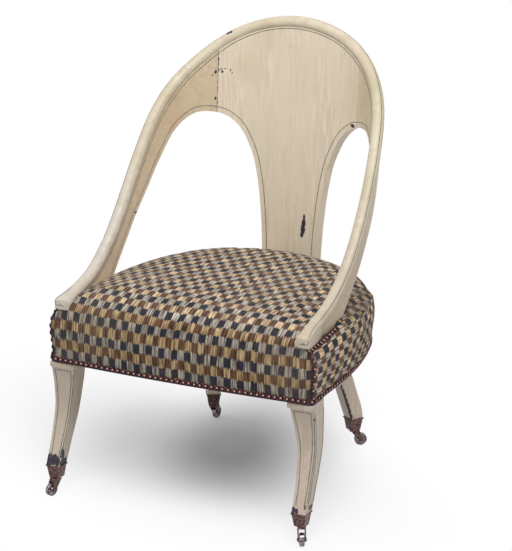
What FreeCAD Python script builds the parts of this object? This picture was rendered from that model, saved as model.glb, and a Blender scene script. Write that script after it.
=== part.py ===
"""Easy chair: a low spoon-back chair with a barrel back, a stuffed-over seat and swivel casters.

Millimetres, +Z up. The floor is Z = 0, the chair faces -Y, and the origin is the middle of its footprint.
Shapes are worked out with Y = 0 at the seat's front corners, and every sub-part is then placed
front_setback towards -Y.
"""
import FreeCAD, Part
import math
import os

import Sketcher

from FreeCAD import Vector

doc = FreeCAD.newDocument("EasyChair")
sheet = doc.addObject("Spreadsheet::Sheet", "Sizes")

SIZES = {
    "front_setback": 235.48,
    # Seat outline, seen from above
    "seat_half_width": 266.0,
    "seat_back": 488.0,
    "seat_front_corner": 5.0,
    "seat_front_bow": 8.5,
    "side_straight_end": 130.0,
    "side_bend_radius": 676.0,
    "corner_bend_radius": 235.5,
    "front_corner_radius": 8.0,
    # Seat heights
    "cover_bottom": 257.0,
    "rail_bottom": 260.0,
    "rail_top": 328.0,
    "seat_edge_height": 346.0,
    "crown_rise": 50.0,
    "side_bulge": 4.0,
    "cover_thickness": 2.5,
    "rail_thickness": 32.0,
    "soft_gap": 0.3,
    # Barrel back
    "back_thickness": 18.0,
    "back_half_width": 247.8,
    "back_depth": 485.6,
    "back_side_splay": 0.072,
    "back_rake": 0.055,
    "back_bend_start": 100.0,
    "back_roundness": 2.835,
    "roll_diameter": 23.0,
    "roll_seat_gap": 0.2,
    "board_joint_x": 148.5,
    "roll_joint_x": 140.0,
    "arm_front": 3.0,
    "splat_half_width": 60.0,
    # Front legs
    "leg_top": 256.7,
    "front_leg_side": 266.0,
    "front_leg_width": 46.0,
    "front_foot_width": 28.0,
    "stile_width": 39.0,
    "stile_depth": 42.0,
    "stile_corner_radius": 11.0,
    "foot_height": 60.0,
    # Rear legs
    "rear_foot_x": 155.0,
    "rear_foot_y": 441.0,
    "rear_leg_turn": 31.9,
    "rear_leg_width": 26.0,
    "rear_head_width": 32.0,
    # Joinery
    "tenon_thickness": 10.0,
    "tenon_length": 18.0,
    "tenon_height": 40.0,
    "glue_gap": 0.1,
    "dowel_radius": 3.5,
    "dowel_length": 36.0,
    "screw_radius": 2.2,
    "screw_length": 48.0,
    "block_leg": 62.0,
    # Upholstery foundation
    "web_width": 46.0,
    "web_thickness": 1.5,
    "hessian_thickness": 0.9,
    "bottom_cloth_thickness": 1.0,
    "nail_band_height": 7.5,
    "nail_band_thickness": 1.2,
    # Casters
    "front_caster_x": 251.5,
    "front_caster_y": 16.5,
    "left_front_heading": -14.5,
    "right_front_heading": 27.7,
    "right_rear_heading": 124.8,
    "left_rear_heading": 180.0,
    "caster_trail": 15.0,
    "cup_lip_width": 29.5,
    "cup_lip_height": 2.6,
    "cup_mouth_width": 27.5,
    "cup_base_width": 20.0,
    "cup_bottom": 34.0,
    "cup_wall": 1.6,
    "cup_floor": 3.0,
    "fork_gap": 0.4,
    "fork_crown_radius": 8.0,
    "fork_crown_thickness": 3.6,
    "fork_cheek_thickness": 2.2,
    "wheel_radius": 12.5,
    "wheel_width": 10.0,
    "wheel_side_gap": 0.35,
    "axle_radius": 2.0,
    "swivel_radius": 3.0,
    "running_gap": 0.05,
    "rivet_head_height": 1.4,
}
for row, (alias, value) in enumerate(SIZES.items(), start=1):
    sheet.set("A%d" % row, alias.replace("_", " "))
    sheet.set("B%d" % row, str(value))
    sheet.setAlias("B%d" % row, alias)
doc.recompute()


def size(alias):
    """The sheet's value for one named size."""
    return float(sheet.get(alias))


SETBACK = "-Sizes.front_setback"
PARTS = []


def place(obj, label, x="0", y=SETBACK, turn=None):
    """Name a sub-part and bind its placement; turn is an angle about Z in degrees."""
    obj.Label = label
    if turn is not None:
        obj.Placement = FreeCAD.Placement(Vector(), FreeCAD.Rotation(Vector(0, 0, 1), 1))
        obj.setExpression("Placement.Rotation.Angle", turn)
    obj.setExpression("Placement.Base.x", x)
    obj.setExpression("Placement.Base.y", y)
    PARTS.append(obj)
    return obj


def shaped(label, shape):
    """A sub-part whose curved shape is worked out here from the sheet."""
    obj = doc.addObject("Part::Feature", label)
    obj.Shape = shape
    return place(obj, label)


def mirrored(source, label):
    """The left-hand copy of a right-hand sub-part."""
    obj = doc.addObject("Part::Mirroring", label)
    obj.Source = source
    obj.Normal = Vector(1, 0, 0)
    obj.Label = label
    PARTS.append(obj)
    return obj


def box(x, y, z):
    """A box between pairs of limits."""
    lengths = [high - low for low, high in (x, y, z)]
    return Part.makeBox(*lengths, Vector(x[0], y[0], z[0]))


def curve(points):
    """A smooth curve through points."""
    spline = Part.BSplineCurve()
    spline.interpolate([Vector(*point) for point in points])
    return spline


FAR = 900.0


# The seat's outline. Its sides run straight back, bend in two tangent arcs and meet in a short
# straight back; its front is one shallow arc. All arcs keep their centres when the outline is inset.
SIDE_CENTRE = Vector(size("seat_half_width") - size("side_bend_radius"), size("side_straight_end"), 0)
BACK_RISE = size("seat_back") - size("side_straight_end") - size("corner_bend_radius")
CORNER_CENTRE = SIDE_CENTRE + Vector(
    math.sqrt((size("side_bend_radius") - size("corner_bend_radius")) ** 2 - BACK_RISE ** 2), BACK_RISE, 0)
FRONT_RADIUS = (size("seat_half_width") ** 2 + size("seat_front_bow") ** 2) / (2 * size("seat_front_bow"))
FRONT_CENTRE_Y = FRONT_RADIUS - size("seat_front_corner") - size("seat_front_bow")


def on_arc(centre, radius, degrees):
    """A point on an arc in plan."""
    angle = math.radians(degrees)
    return Vector(centre.x + radius * math.cos(angle), centre.y + radius * math.sin(angle), 0)


def seat_outline(inset, z, corner_radius=None):
    """The seat's outline, inset by a distance, as a closed wire of lines and arcs."""
    side = size("seat_half_width") - inset
    front_radius = FRONT_RADIUS - inset
    corner = size("front_corner_radius") if corner_radius is None else corner_radius
    corner_y = FRONT_CENTRE_Y - math.sqrt((front_radius - corner) ** 2 - (side - corner) ** 2)
    corner_middle = Vector(side - corner, corner_y, 0)
    front_angle = math.degrees(math.atan2(corner_y - FRONT_CENTRE_Y, side - corner))
    side_angle = math.degrees(math.atan2(CORNER_CENTRE.y - SIDE_CENTRE.y, CORNER_CENTRE.x - SIDE_CENTRE.x))
    side_radius = size("side_bend_radius") - inset
    back_radius = size("corner_bend_radius") - inset
    stations = [
        on_arc(corner_middle, corner, front_angle),
        on_arc(corner_middle, corner, front_angle / 2),
        on_arc(corner_middle, corner, 0),
        on_arc(SIDE_CENTRE, side_radius, 0),
        on_arc(SIDE_CENTRE, side_radius, side_angle / 2),
        on_arc(SIDE_CENTRE, side_radius, side_angle),
        on_arc(CORNER_CENTRE, back_radius, (side_angle + 90) / 2),
        on_arc(CORNER_CENTRE, back_radius, 90),
    ]
    right = [Vector(p.x, p.y, z) for p in stations]
    left = [Vector(-p.x, p.y, z) for p in stations]
    front = Vector(0, FRONT_CENTRE_Y - front_radius, z)
    edges = [
        Part.Arc(left[0], front, right[0]),
        Part.Arc(right[0], right[1], right[2]),
        Part.LineSegment(right[2], right[3]),
        Part.Arc(right[3], right[4], right[5]),
        Part.Arc(right[5], right[6], right[7]),
        Part.LineSegment(right[7], left[7]),
        Part.Arc(left[7], left[6], left[5]),
        Part.Arc(left[5], left[4], left[3]),
        Part.LineSegment(left[3], left[2]),
        Part.Arc(left[2], left[1], left[0]),
    ]
    return Part.Wire([edge.toShape() for edge in edges])


def seat_slab(inset, low, high):
    """A flat solid with the seat's inset outline."""
    return Part.Face(seat_outline(inset, low)).extrude(Vector(0, 0, high - low))


# The cushion's section: how far its surface lies inside the outline at each height. The sides bulge
# between a tight bottom edge and a soft shoulder, and the top rises in a crown.
BAND_TOP = size("cover_bottom") + size("nail_band_height") + 3
SECTION = [
    (2.0, size("cover_bottom")),
    (2.0, BAND_TOP),
    (-size("side_bulge") / 2, (BAND_TOP + size("seat_edge_height")) / 2),
    (0.5, size("seat_edge_height")),
]
CROWN = [(3, 0.15), (7, 0.30), (14, 0.44), (26, 0.61), (44, 0.78), (70, 0.90), (100, 0.97)]
CORNER_SOFTENING = 0.12
SECTION += [(inset, size("seat_edge_height") + share * size("crown_rise")) for inset, share in CROWN]


def offset_section(distance):
    """The section moved inwards by a distance, square to itself."""
    moved = []
    for index, (inset, z) in enumerate(SECTION):
        before = SECTION[max(index - 1, 0)]
        after = SECTION[min(index + 1, len(SECTION) - 1)]
        run = after[0] - before[0]
        rise = after[1] - before[1]
        length = math.hypot(run, rise)
        moved.append((inset + distance * rise / length, z - distance * run / length))
    return moved


def cushion_solid(distance):
    """The whole cushion, smaller by a distance all over."""
    outlines = [seat_outline(inset, z, size("front_corner_radius") + CORNER_SOFTENING * max(inset, 0))
                for inset, z in offset_section(distance)]
    return Part.makeLoft(outlines, True, False, False, 3)


# The barrel back. In plan its middle surface is straight beside the arms and bends round the back as
# a squared ellipse; both widen evenly with height.
def back_point(across, z, offset=0.0, side_view=False):
    """A point of the barrel at a height: across is X, or Y where side_view is set.

    offset moves the point off the middle surface, outwards where positive.
    """
    half_width = size("back_half_width") + size("back_side_splay") * (z - 500)
    depth = size("back_depth") + size("back_rake") * (z - 500) - size("back_bend_start")
    power = size("back_roundness")
    if side_view:
        y = across - size("back_bend_start")
        if y <= 0:
            return Vector(half_width + offset, across, z)
        x = half_width * (1 - (y / depth) ** power) ** (1 / power)
    else:
        x = across
        y = depth * (1 - (abs(x) / half_width) ** power) ** (1 / power)
    angle = math.atan2(y / depth, x / half_width)
    reach = (abs(math.cos(angle)) ** power + abs(math.sin(angle)) ** power) ** (-1 / power)
    return Vector((half_width + offset) * math.cos(angle) * reach,
                  size("back_bend_start") + (depth + offset) * math.sin(angle) * reach, z)


BARREL_STATIONS = (15, 28, 38, 46, 54, 64, 76, 90, 104, 116, 126, 134, 142, 152, 165)


def barrel_side(z, offset):
    """The barrel's plan line at a height and offset: two straight arms and one curve."""
    half_width = size("back_half_width") + size("back_side_splay") * (z - 500)
    depth = size("back_depth") + size("back_rake") * (z - 500) - size("back_bend_start")
    power = size("back_roundness")
    right = Vector(half_width + offset, size("back_bend_start"), z)
    left = Vector(-right.x, right.y, z)
    bend = [right]
    for station in BARREL_STATIONS:
        angle = math.radians(station)
        reach = (abs(math.cos(angle)) ** power + math.sin(angle) ** power) ** (-1 / power)
        bend.append(Vector((half_width + offset) * math.cos(angle) * reach,
                           size("back_bend_start") + (depth + offset) * math.sin(angle) * reach, z))
    bend.append(left)
    spline = Part.BSplineCurve()
    inner = [Vector(0, 0, 0)] * len(BARREL_STATIONS)
    flags = [True] + [False] * len(BARREL_STATIONS) + [True]
    spline.interpolate(Points=bend, Tangents=[Vector(0, 1, 0)] + inner + [Vector(0, -1, 0)],
                       TangentFlags=flags, Scale=False)
    front = size("arm_front")
    return [Part.makeLine(Vector(right.x, front, z), right), spline.toShape(),
            Part.makeLine(left, Vector(left.x, front, z))]


def barrel(half_thickness, low, high):
    """The solid barrel wall between two heights."""
    rings = []
    for z in (low, high):
        inner = barrel_side(z, -half_thickness)
        outer = barrel_side(z, half_thickness)
        right_end = Part.makeLine(inner[0].Vertexes[0].Point, outer[0].Vertexes[0].Point)
        left_end = Part.makeLine(inner[2].Vertexes[-1].Point, outer[2].Vertexes[-1].Point)
        edges = Part.sortEdges(inner + outer + [right_end, left_end])[0]
        rings.append(Part.Wire(edges))
    return Part.makeLoft(rings, True, True)


# The rolled rim, from the front of an arm to the middle of the crest: (Y, Z) along the arm as seen
# from the side, then (X, Z) over the crest as seen from the front.
ROLL_ARM = [(3, 363), (38, 377), (76, 387), (108, 396.5), (138, 411.5), (170, 433), (202, 461),
            (237, 500), (276, 550), (316, 605), (352, 653)]
ROLL_CREST = [(212, 705), (177, 750), (136, 784), (92, 806), (45, 819), (0, 823.5)]
ROLL_START = -40.0


def roll_path(front):
    """Points of the rim's centre line, from the right arm's front to the left arm's."""
    right = [back_point(y, z, 0, True) for y, z in ROLL_ARM]
    right[0] = Vector(right[0].x, front, right[0].z - (size("arm_front") - front) / 3)
    right += [back_point(x, z) for x, z in ROLL_CREST]
    return right + [Vector(-p.x, p.y, p.z) for p in reversed(right[:-1])]


def roll_solid(radius, front):
    """A round bar along the rim's centre line."""
    path = curve(roll_path(front))
    sections = []
    count = 46
    for index in range(count + 1):
        at = path.FirstParameter + (path.LastParameter - path.FirstParameter) * index / count
        point = path.value(at)
        along = Vector(*path.tangent(at)[0])
        outward = Vector(point.x, max(point.y - size("back_bend_start"), 0), 0)
        across = (outward - along * outward.dot(along)).normalize()
        frame = FreeCAD.Placement(point, FreeCAD.Rotation(across, along.cross(across), along, "ZXY"))
        ring = Part.Wire(Part.makeCircle(radius))
        ring.Placement = frame
        sections.append(ring)
    return Part.makeLoft(sections, True, False)


# One arched opening: up the splat's side and over the arch as seen from the front, (X, Z), then down
# the arm's rear edge as seen from the side, (Y, Z), and inside the seat to the rail.
SPLAT_EDGE = [(60, 300), (60, 371), (61.3, 400), (63.5, 434), (66.5, 464), (70.5, 497), (76, 528), (83, 557),
              (92.5, 581), (106.5, 608), (121, 625), (141, 639), (161, 645), (179, 646.5)]
ARM_EDGE = [(424, 643), (404, 631), (386, 615.5), (361, 584.5), (336, 553), (312.5, 522.5), (289, 496.5),
            (264, 470), (240.5, 443.5), (217, 419), (193, 395), (170, 372), (150, 351), (144, 330), (144, 300)]


def opening_cutter(clearance):
    """A wall square to the barrel that follows one opening's edge."""
    widen = size("splat_half_width") - SPLAT_EDGE[0][0] + clearance
    reach = size("back_thickness")
    lines = []
    for offset in (-reach, reach):
        points = [back_point(x + widen, z - clearance, offset) for x, z in SPLAT_EDGE]
        points += [back_point(y + clearance, z - clearance, offset, True) for y, z in ARM_EDGE]
        lines.append(curve(points).toShape())
    return Part.makeRuledSurface(lines[0], lines[1])


def back_body(half_thickness, clearance):
    """The barrel wall cut by the rim and pierced by both openings."""
    crest_height = ROLL_CREST[-1][1]
    wall = barrel(half_thickness, size("rail_top"), crest_height + size("roll_diameter"))
    rim = roll_solid(size("roll_diameter") / 2 + size("roll_seat_gap"), ROLL_START)
    wall = wall.cut(rim)
    right = opening_cutter(clearance)
    left = right.mirror(Vector(), Vector(1, 0, 0))
    pieces = wall.generalFuse([right, left])[0].Solids
    middle = back_point(0, crest_height - 3 * size("roll_diameter"))
    for piece in pieces:
        if piece.isInside(middle, 0.01, True):
            return piece
    raise ValueError("the back has no wall under its crest")


# Sketches of straight lines whose every corner is bound to the sheet.
def outline_sketch(body, name, plane_role, corners, offset="0"):
    """A closed outline on one of a body's own planes; corners are pairs of expressions."""
    sketch = body.newObject("Sketcher::SketchObject", name)
    plane = next(item for item in body.Origin.OriginFeatures if item.Role == plane_role)
    sketch.AttachmentSupport = [(plane, "")]
    sketch.MapMode = "FlatFace"
    sketch.setExpression("AttachmentOffset.Base.z", offset)
    spots = [Vector(float(sketch.evalExpression(x)), float(sketch.evalExpression(y)), 0) for x, y in corners]
    count = len(spots)
    for index in range(count):
        sketch.addGeometry(Part.LineSegment(spots[index], spots[(index + 1) % count]))
    for index in range(count):
        sketch.addConstraint(Sketcher.Constraint("Coincident", index, 2, (index + 1) % count, 1))
    for index, (spot, corner) in enumerate(zip(spots, corners)):
        for kind, value, expression in (("DistanceX", spot.x, corner[0]), ("DistanceY", spot.y, corner[1])):
            place_in_list = sketch.addConstraint(Sketcher.Constraint(kind, -1, 1, index, 1, value))
            sketch.setExpression("Constraints[%d]" % place_in_list, expression)
    return sketch


def square(width):
    """The corners of a centred square, as expressions."""
    half = "(%s) / 2" % width
    return [("-" + half, "-" + half), (half, "-" + half), (half, half), ("-" + half, half)]


def padded(body, name, sketch, length):
    """A pad of a sketch, upwards."""
    pad = body.newObject("PartDesign::Pad", name)
    pad.Profile = sketch
    pad.setExpression("Length", length)
    return pad


# Seat frame: front, side and back rails cut from one horseshoe, with the front ones tenoned into the
# front legs and the back joints covered by the heads of the rear legs.
RAIL_INSET = 2 + size("cover_thickness") + size("soft_gap")
STILE_OUTER = size("seat_half_width") - RAIL_INSET
STILE_INNER = STILE_OUTER - size("stile_width")
RAIL_Z = (size("rail_bottom"), size("rail_top"))


def rail_ring(gap=0.0):
    """The horseshoe that all four rails are cut from."""
    outer = seat_slab(RAIL_INSET - gap, *RAIL_Z)
    return outer.cut(seat_slab(RAIL_INSET + size("rail_thickness") + gap, *RAIL_Z))


def beyond_rear_leg():
    """The space on the side rail's side of the joint at the right rear leg."""
    space = box((0, FAR), (-FAR, FAR), (0, FAR))
    space.rotate(Vector(), Vector(0, 0, 1), -size("rear_leg_turn"))
    space.translate(Vector(size("rear_foot_x"), size("rear_foot_y"), 0))
    return space


TENON_MIDDLE = (size("rail_bottom") + size("rail_top")) / 2
TENON_HALF = size("tenon_height") / 2
FRONT_TENON_Y = 8.0
SIDE_TENON_X = STILE_OUTER - 15.0


def front_tenon(gap):
    """The front rail's right tenon, which enters the front leg."""
    return box((STILE_INNER, STILE_INNER + size("tenon_length") + gap),
               (FRONT_TENON_Y - gap, FRONT_TENON_Y + size("tenon_thickness") + gap),
               (TENON_MIDDLE - TENON_HALF - gap, TENON_MIDDLE + TENON_HALF + gap))


def side_tenon(gap):
    """The right side rail's tenon, which enters the same leg from behind."""
    return box((SIDE_TENON_X - gap, SIDE_TENON_X + size("tenon_thickness") + gap),
               (size("stile_depth") - size("tenon_length") - gap, size("stile_depth")),
               (TENON_MIDDLE - TENON_HALF - gap, TENON_MIDDLE + TENON_HALF + gap))


def reflected(shape):
    """A shape's left-hand copy."""
    return shape.mirror(Vector(), Vector(1, 0, 0))


# Dowels under each arm and a tenon under the splat hold the back on the seat frame.
ARM_DOWEL_Y = (22.0, 95.0)
ARM_DOWEL_HALF = 16.0
ARM_DOWEL_OUT = 1.5


def arm_dowel_set(radius, grow):
    """The two upright dowels under the right arm, a little outside the wall's middle."""
    pins = []
    for y in ARM_DOWEL_Y:
        foot = back_point(y, size("rail_top"), 0, True)
        low = size("rail_top") - ARM_DOWEL_HALF - grow
        top_x = back_point(y, size("rail_top") + ARM_DOWEL_HALF, 0, True).x
        pins.append(Part.makeCylinder(radius, 2 * (ARM_DOWEL_HALF + grow),
                                      Vector((foot.x + top_x) / 2 + ARM_DOWEL_OUT, y, low)))
    return Part.makeCompound(pins)


SPLAT_TENON_HALF = 40.0
SPLAT_TENON_DEPTH = 22.0


def splat_tenon(gap):
    """The splat's tenon into the back rail."""
    middle = back_point(0, size("rail_top")).y
    half = size("tenon_thickness") / 2 + gap
    return box((-SPLAT_TENON_HALF - gap, SPLAT_TENON_HALF + gap), (middle - half - 1, middle + half - 1),
               (size("rail_top") - SPLAT_TENON_DEPTH - gap, size("rail_top") + 1))


BOARD_DOWEL_Z = (680.0, 745.0)


def board_dowel_set(radius, length):
    """The dowels across the right board joint, along the wall at each height."""
    pins = []
    for z in BOARD_DOWEL_Z:
        joint = back_point(size("board_joint_x"), z)
        along = (back_point(size("board_joint_x") + 2, z) - back_point(size("board_joint_x") - 2, z)).normalize()
        pins.append(Part.makeCylinder(radius, length, joint - along * (length / 2), along))
    return Part.makeCompound(pins)


# Screws through the corner blocks and through the heads of the rear legs.
def screw(grow):
    """A countersunk wood screw along +X with its head at the origin."""
    shank = Part.makeCylinder(size("screw_radius") + grow, size("screw_length") + grow, Vector(), Vector(1, 0, 0))
    head_radius = 2 * size("screw_radius") + grow
    head = Part.makeCone(head_radius, size("screw_radius") + grow, size("screw_radius") * 1.2, Vector(),
                         Vector(1, 0, 0))
    return shank.fuse(head)


BLOCK_LOW = size("rail_bottom") + 6
BLOCK_HIGH = size("rail_top") - 6
SCREW_Z = ((2 * BLOCK_LOW + BLOCK_HIGH) / 3, (BLOCK_LOW + 2 * BLOCK_HIGH) / 3)
RAIL_INNER_X = STILE_OUTER - size("rail_thickness")
BLOCK_CORNERS = [
    Vector(STILE_INNER - size("block_leg"), 0, BLOCK_LOW),
    Vector(STILE_INNER, 0, BLOCK_LOW),
    Vector(STILE_INNER, size("stile_depth"), BLOCK_LOW),
    Vector(RAIL_INNER_X, size("stile_depth"), BLOCK_LOW),
    Vector(RAIL_INNER_X, size("stile_depth") + size("block_leg"), BLOCK_LOW),
    Vector(STILE_INNER - size("block_leg"), size("rail_thickness"), BLOCK_LOW),
]
LEG_ALONG = Vector(math.sin(math.radians(size("rear_leg_turn"))),
                   math.cos(math.radians(size("rear_leg_turn"))), 0)
LEG_ACROSS = Vector(LEG_ALONG.y, -LEG_ALONG.x, 0)
REAR_FOOT = Vector(size("rear_foot_x"), size("rear_foot_y"), 0)
HEAD_INNER = 80.0
HEAD_SCREW_SPREAD = 8.0


def screw_set(grow):
    """The right-hand screws: two from the corner block into the leg, two through the leg head."""
    outer, inner = BLOCK_CORNERS[4], BLOCK_CORNERS[5]
    face = outer - inner
    block_heading = math.degrees(math.atan2(-face.x, face.y))
    head_heading = 90 - size("rear_leg_turn")
    spots = []
    for z, side in zip(SCREW_Z, (-HEAD_SCREW_SPREAD, HEAD_SCREW_SPREAD)):
        middle = (outer + inner) / 2
        spots.append((Vector(middle.x, middle.y, z), block_heading))
        head = REAR_FOOT - LEG_ALONG * HEAD_INNER + LEG_ACROSS * side
        spots.append((Vector(head.x, head.y, z), head_heading))
    screws = []
    for start, heading in spots:
        one = screw(grow)
        one.rotate(Vector(), Vector(0, 0, 1), heading)
        one.translate(start)
        screws.append(one)
    return screws


def cut_all(shape, tools):
    """A shape less several others."""
    for tool in tools:
        shape = shape.cut(tool)
    return shape


# Front legs. Each is sawn from both sides: the side view curves forwards to the foot and the front
# view narrows on the inner side only. Heights are shares of the way from the foot to the seat.
def leg_height(share):
    return size("foot_height") + share * (size("leg_top") - size("foot_height"))


FRONT_LEG_FRONT = [(-30.5, 0), (-20, 0.112), (-10, 0.224), (-2, 0.336), (5, 0.447), (9.6, 0.569),
                   (9, 0.697), (6, 0.829), (1.5, 0.93), (0, 1)]
FRONT_LEG_BACK = [(42, 1), (44.5, 0.9), (44.5, 0.697), (42.5, 0.569), (36.5, 0.447), (28, 0.336),
                  (18, 0.224), (8, 0.112), (-3.5, 0)]
FRONT_LEG_TAPER = [(0, 0), (0.06, 0.13), (0.13, 0.26), (0.24, 0.38), (0.40, 0.55), (0.60, 0.68),
                   (0.85, 0.82), (0.97, 0.92), (1, 1)]


def front_leg():
    """The right front leg: shaped leg, square head inside the seat and tapered end in the caster."""
    front = [Vector(0, y, leg_height(share)) for y, share in FRONT_LEG_FRONT]
    back = [Vector(0, y, leg_height(share)) for y, share in FRONT_LEG_BACK]
    edges = [curve(front).toShape(), Part.makeLine(front[-1], back[0]),
             curve(back).toShape(), Part.makeLine(back[-1], front[0])]
    side_view = Part.Face(Part.Wire(edges)).extrude(Vector(size("front_leg_side"), 0, 0))
    outer = size("front_leg_side")
    taper = size("front_leg_width") - size("front_foot_width")
    inner = [Vector(outer - size("front_foot_width") - taper * step, -FAR / 2, leg_height(share))
             for step, share in FRONT_LEG_TAPER]
    low_outer = Vector(outer - 0.5, -FAR / 2, leg_height(0))
    high_outer = Vector(outer, -FAR / 2, leg_height(1))
    edges = [curve(inner).toShape(), Part.makeLine(inner[-1], high_outer),
             Part.makeLine(high_outer, low_outer), Part.makeLine(low_outer, inner[0])]
    front_view = Part.Face(Part.Wire(edges)).extrude(Vector(0, FAR, 0))
    leg = side_view.common(front_view)
    head = box((STILE_INNER, STILE_OUTER), (0, size("stile_depth")), (leg_height(1), size("rail_top")))
    corner = [edge for edge in head.Edges if edge.BoundBox.XMin > STILE_OUTER - 1 and edge.BoundBox.YMax < 1]
    head = head.makeFillet(size("stile_corner_radius"), corner)
    leg = leg.fuse(head).removeSplitter()
    peg = caster_peg()
    peg.translate(Vector(size("front_caster_x"), -size("front_caster_y"), 0))
    leg = leg.fuse(peg)
    grow = size("glue_gap")
    holes = [front_tenon(grow), side_tenon(grow), arm_dowel_set(size("dowel_radius"), grow)]
    return cut_all(leg, holes + screw_set(0))


REAR_LEG_FRONT = [(-13, 0), (-27, 0.198), (-40, 0.371), (-48, 0.452), (-61, 0.61), (-73, 0.79), (-80, 1)]
REAR_LEG_BACK = [(-39, 1), (-34, 0.79), (-26, 0.61), (-14, 0.478), (-1, 0.280), (9, 0.137), (13, 0)]


def rear_leg():
    """The right rear leg, raked outwards, with a head that fits inside the rails' joint."""
    half = size("rear_leg_width") / 2
    front = [Vector(-half, y, leg_height(share)) for y, share in REAR_LEG_FRONT]
    back = [Vector(-half, y, leg_height(share)) for y, share in REAR_LEG_BACK]
    edges = [curve(front).toShape(), Part.makeLine(front[-1], back[0]),
             curve(back).toShape(), Part.makeLine(back[-1], front[0])]
    leg = Part.Face(Part.Wire(edges)).extrude(Vector(size("rear_leg_width"), 0, 0))
    head_half = size("rear_head_width") / 2
    head = box((-head_half, head_half), (-HEAD_INNER, 0), (leg_height(1), size("rail_top") - 2))
    leg = leg.fuse(head).fuse(caster_peg())
    leg.rotate(Vector(), Vector(0, 0, 1), -size("rear_leg_turn"))
    leg.translate(REAR_FOOT)
    leg = leg.cut(rail_ring(size("glue_gap")))
    leg = leg.cut(box((0, FAR), (-FAR, FAR), (size("leg_top"), FAR)).cut(
        seat_slab(RAIL_INSET + 1, size("leg_top") - 1, FAR)))
    leg = max(leg.Solids, key=lambda solid: solid.Volume)
    return cut_all(leg, screw_set(0))


# Swivel casters, drawn with the swivel axis at the origin and the wheel trailing towards -Y.
def square_wire(width, z):
    half = width / 2
    return Part.makePolygon([Vector(-half, -half, z), Vector(half, -half, z), Vector(half, half, z),
                             Vector(-half, half, z), Vector(-half, -half, z)])


CUP_FLOOR_TOP = size("cup_bottom") + size("cup_floor")
HEAD_RADIUS = size("swivel_radius") + 2.0
HEAD_TOP = CUP_FLOOR_TOP + size("fork_gap") + size("rivet_head_height")


def cavity_width(z):
    """The width inside the cup's tapered walls at a height."""
    share = (z - size("cup_bottom")) / (size("foot_height") - size("cup_bottom"))
    outside = size("cup_base_width") + share * (size("cup_mouth_width") - size("cup_base_width"))
    return outside - 2 * size("cup_wall")


def caster_peg():
    """The leg's tapered end, which sits in the cup above the swivel pin's head."""
    low = HEAD_TOP + 1.0
    high = size("foot_height")
    gap = 2 * size("glue_gap")
    return Part.makeLoft([square_wire(cavity_width(low) - gap, low),
                          square_wire(cavity_width(high) - gap, high)], True, True)


def place_caster(obj, label, corner, along="0"):
    """Put a piece on its corner's swivel axis, turned to the corner's heading."""
    x, y, heading = CORNERS[corner]
    turned = "(%s) * 1deg" % heading
    return place(obj, label, "%s + sin(%s) * (%s)" % (x, turned, along),
                 "%s - cos(%s) * (%s) - Sizes.front_setback" % (y, turned, along), heading)


CORNERS = {
    "front_right": ("Sizes.front_caster_x", "-Sizes.front_caster_y", "Sizes.right_front_heading"),
    "front_left": ("-Sizes.front_caster_x", "-Sizes.front_caster_y", "Sizes.left_front_heading"),
    "rear_right": ("Sizes.rear_foot_x", "Sizes.rear_foot_y", "Sizes.right_rear_heading"),
    "rear_left": ("-Sizes.rear_foot_x", "Sizes.rear_foot_y", "Sizes.left_rear_heading"),
}
CUP_TURNS = {"front_right": "0", "front_left": "0",
             "rear_right": "-Sizes.rear_leg_turn", "rear_left": "Sizes.rear_leg_turn"}


def caster_cup(corner):
    """A tapered square cup with a lip round its mouth and a bore for the swivel pin."""
    label = "caster_%s_cup" % corner
    body = doc.addObject("PartDesign::Body", label)
    base = outline_sketch(body, "Base", "XY_Plane", square("Sizes.cup_base_width"), "Sizes.cup_bottom")
    mouth = outline_sketch(body, "Mouth", "XY_Plane", square("Sizes.cup_mouth_width"), "Sizes.foot_height")
    doc.recompute()
    shell = body.newObject("PartDesign::AdditiveLoft", "Shell")
    shell.Profile = base
    shell.Sections = [mouth]
    shell.Ruled = True
    lip = outline_sketch(body, "LipOutline", "XY_Plane", square("Sizes.cup_lip_width"),
                         "Sizes.foot_height - Sizes.cup_lip_height")
    padded(body, "Lip", lip, "Sizes.cup_lip_height")
    taper = "(Sizes.cup_mouth_width - Sizes.cup_base_width) / (Sizes.foot_height - Sizes.cup_bottom)"
    floor_width = "Sizes.cup_base_width + Sizes.cup_floor * %s - 2 * Sizes.cup_wall" % taper
    low = outline_sketch(body, "CavityFloor", "XY_Plane", square(floor_width),
                         "Sizes.cup_bottom + Sizes.cup_floor")
    high = outline_sketch(body, "CavityMouth", "XY_Plane",
                          square("Sizes.cup_mouth_width - 2 * Sizes.cup_wall"), "Sizes.foot_height")
    doc.recompute()
    cavity = body.newObject("PartDesign::SubtractiveLoft", "Cavity")
    cavity.Profile = low
    cavity.Sections = [high]
    cavity.Ruled = True
    doc.recompute()
    bore = body.newObject("PartDesign::SubtractiveCylinder", "PinBore")
    bore.setExpression("Radius", "Sizes.swivel_radius + Sizes.running_gap")
    bore.setExpression("Height", "Sizes.cup_bottom + 2 * Sizes.cup_floor")
    x, y, _ = CORNERS[corner]
    return place(body, label, x, y + " - Sizes.front_setback", CUP_TURNS[corner])


CROWN_TOP = size("cup_bottom") - size("fork_gap")
CROWN_BOTTOM = CROWN_TOP - size("fork_crown_thickness")
CHEEK_INNER = size("wheel_width") / 2 + size("wheel_side_gap")
CHEEK_OUTER = CHEEK_INNER + size("fork_cheek_thickness")
BOSS_RADIUS = 2.3 * size("axle_radius")


def tangent_spot(spot, centre, radius, side):
    """Where a line from a spot touches a circle, in the YZ plane; side is 1 or -1."""
    gap = centre - spot
    reach = math.hypot(gap.y, gap.z)
    turn = side * math.acos(radius / reach)
    back = math.atan2(-gap.z, -gap.y) + turn
    return Vector(spot.x, centre.y + radius * math.cos(back), centre.z + radius * math.sin(back))


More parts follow.
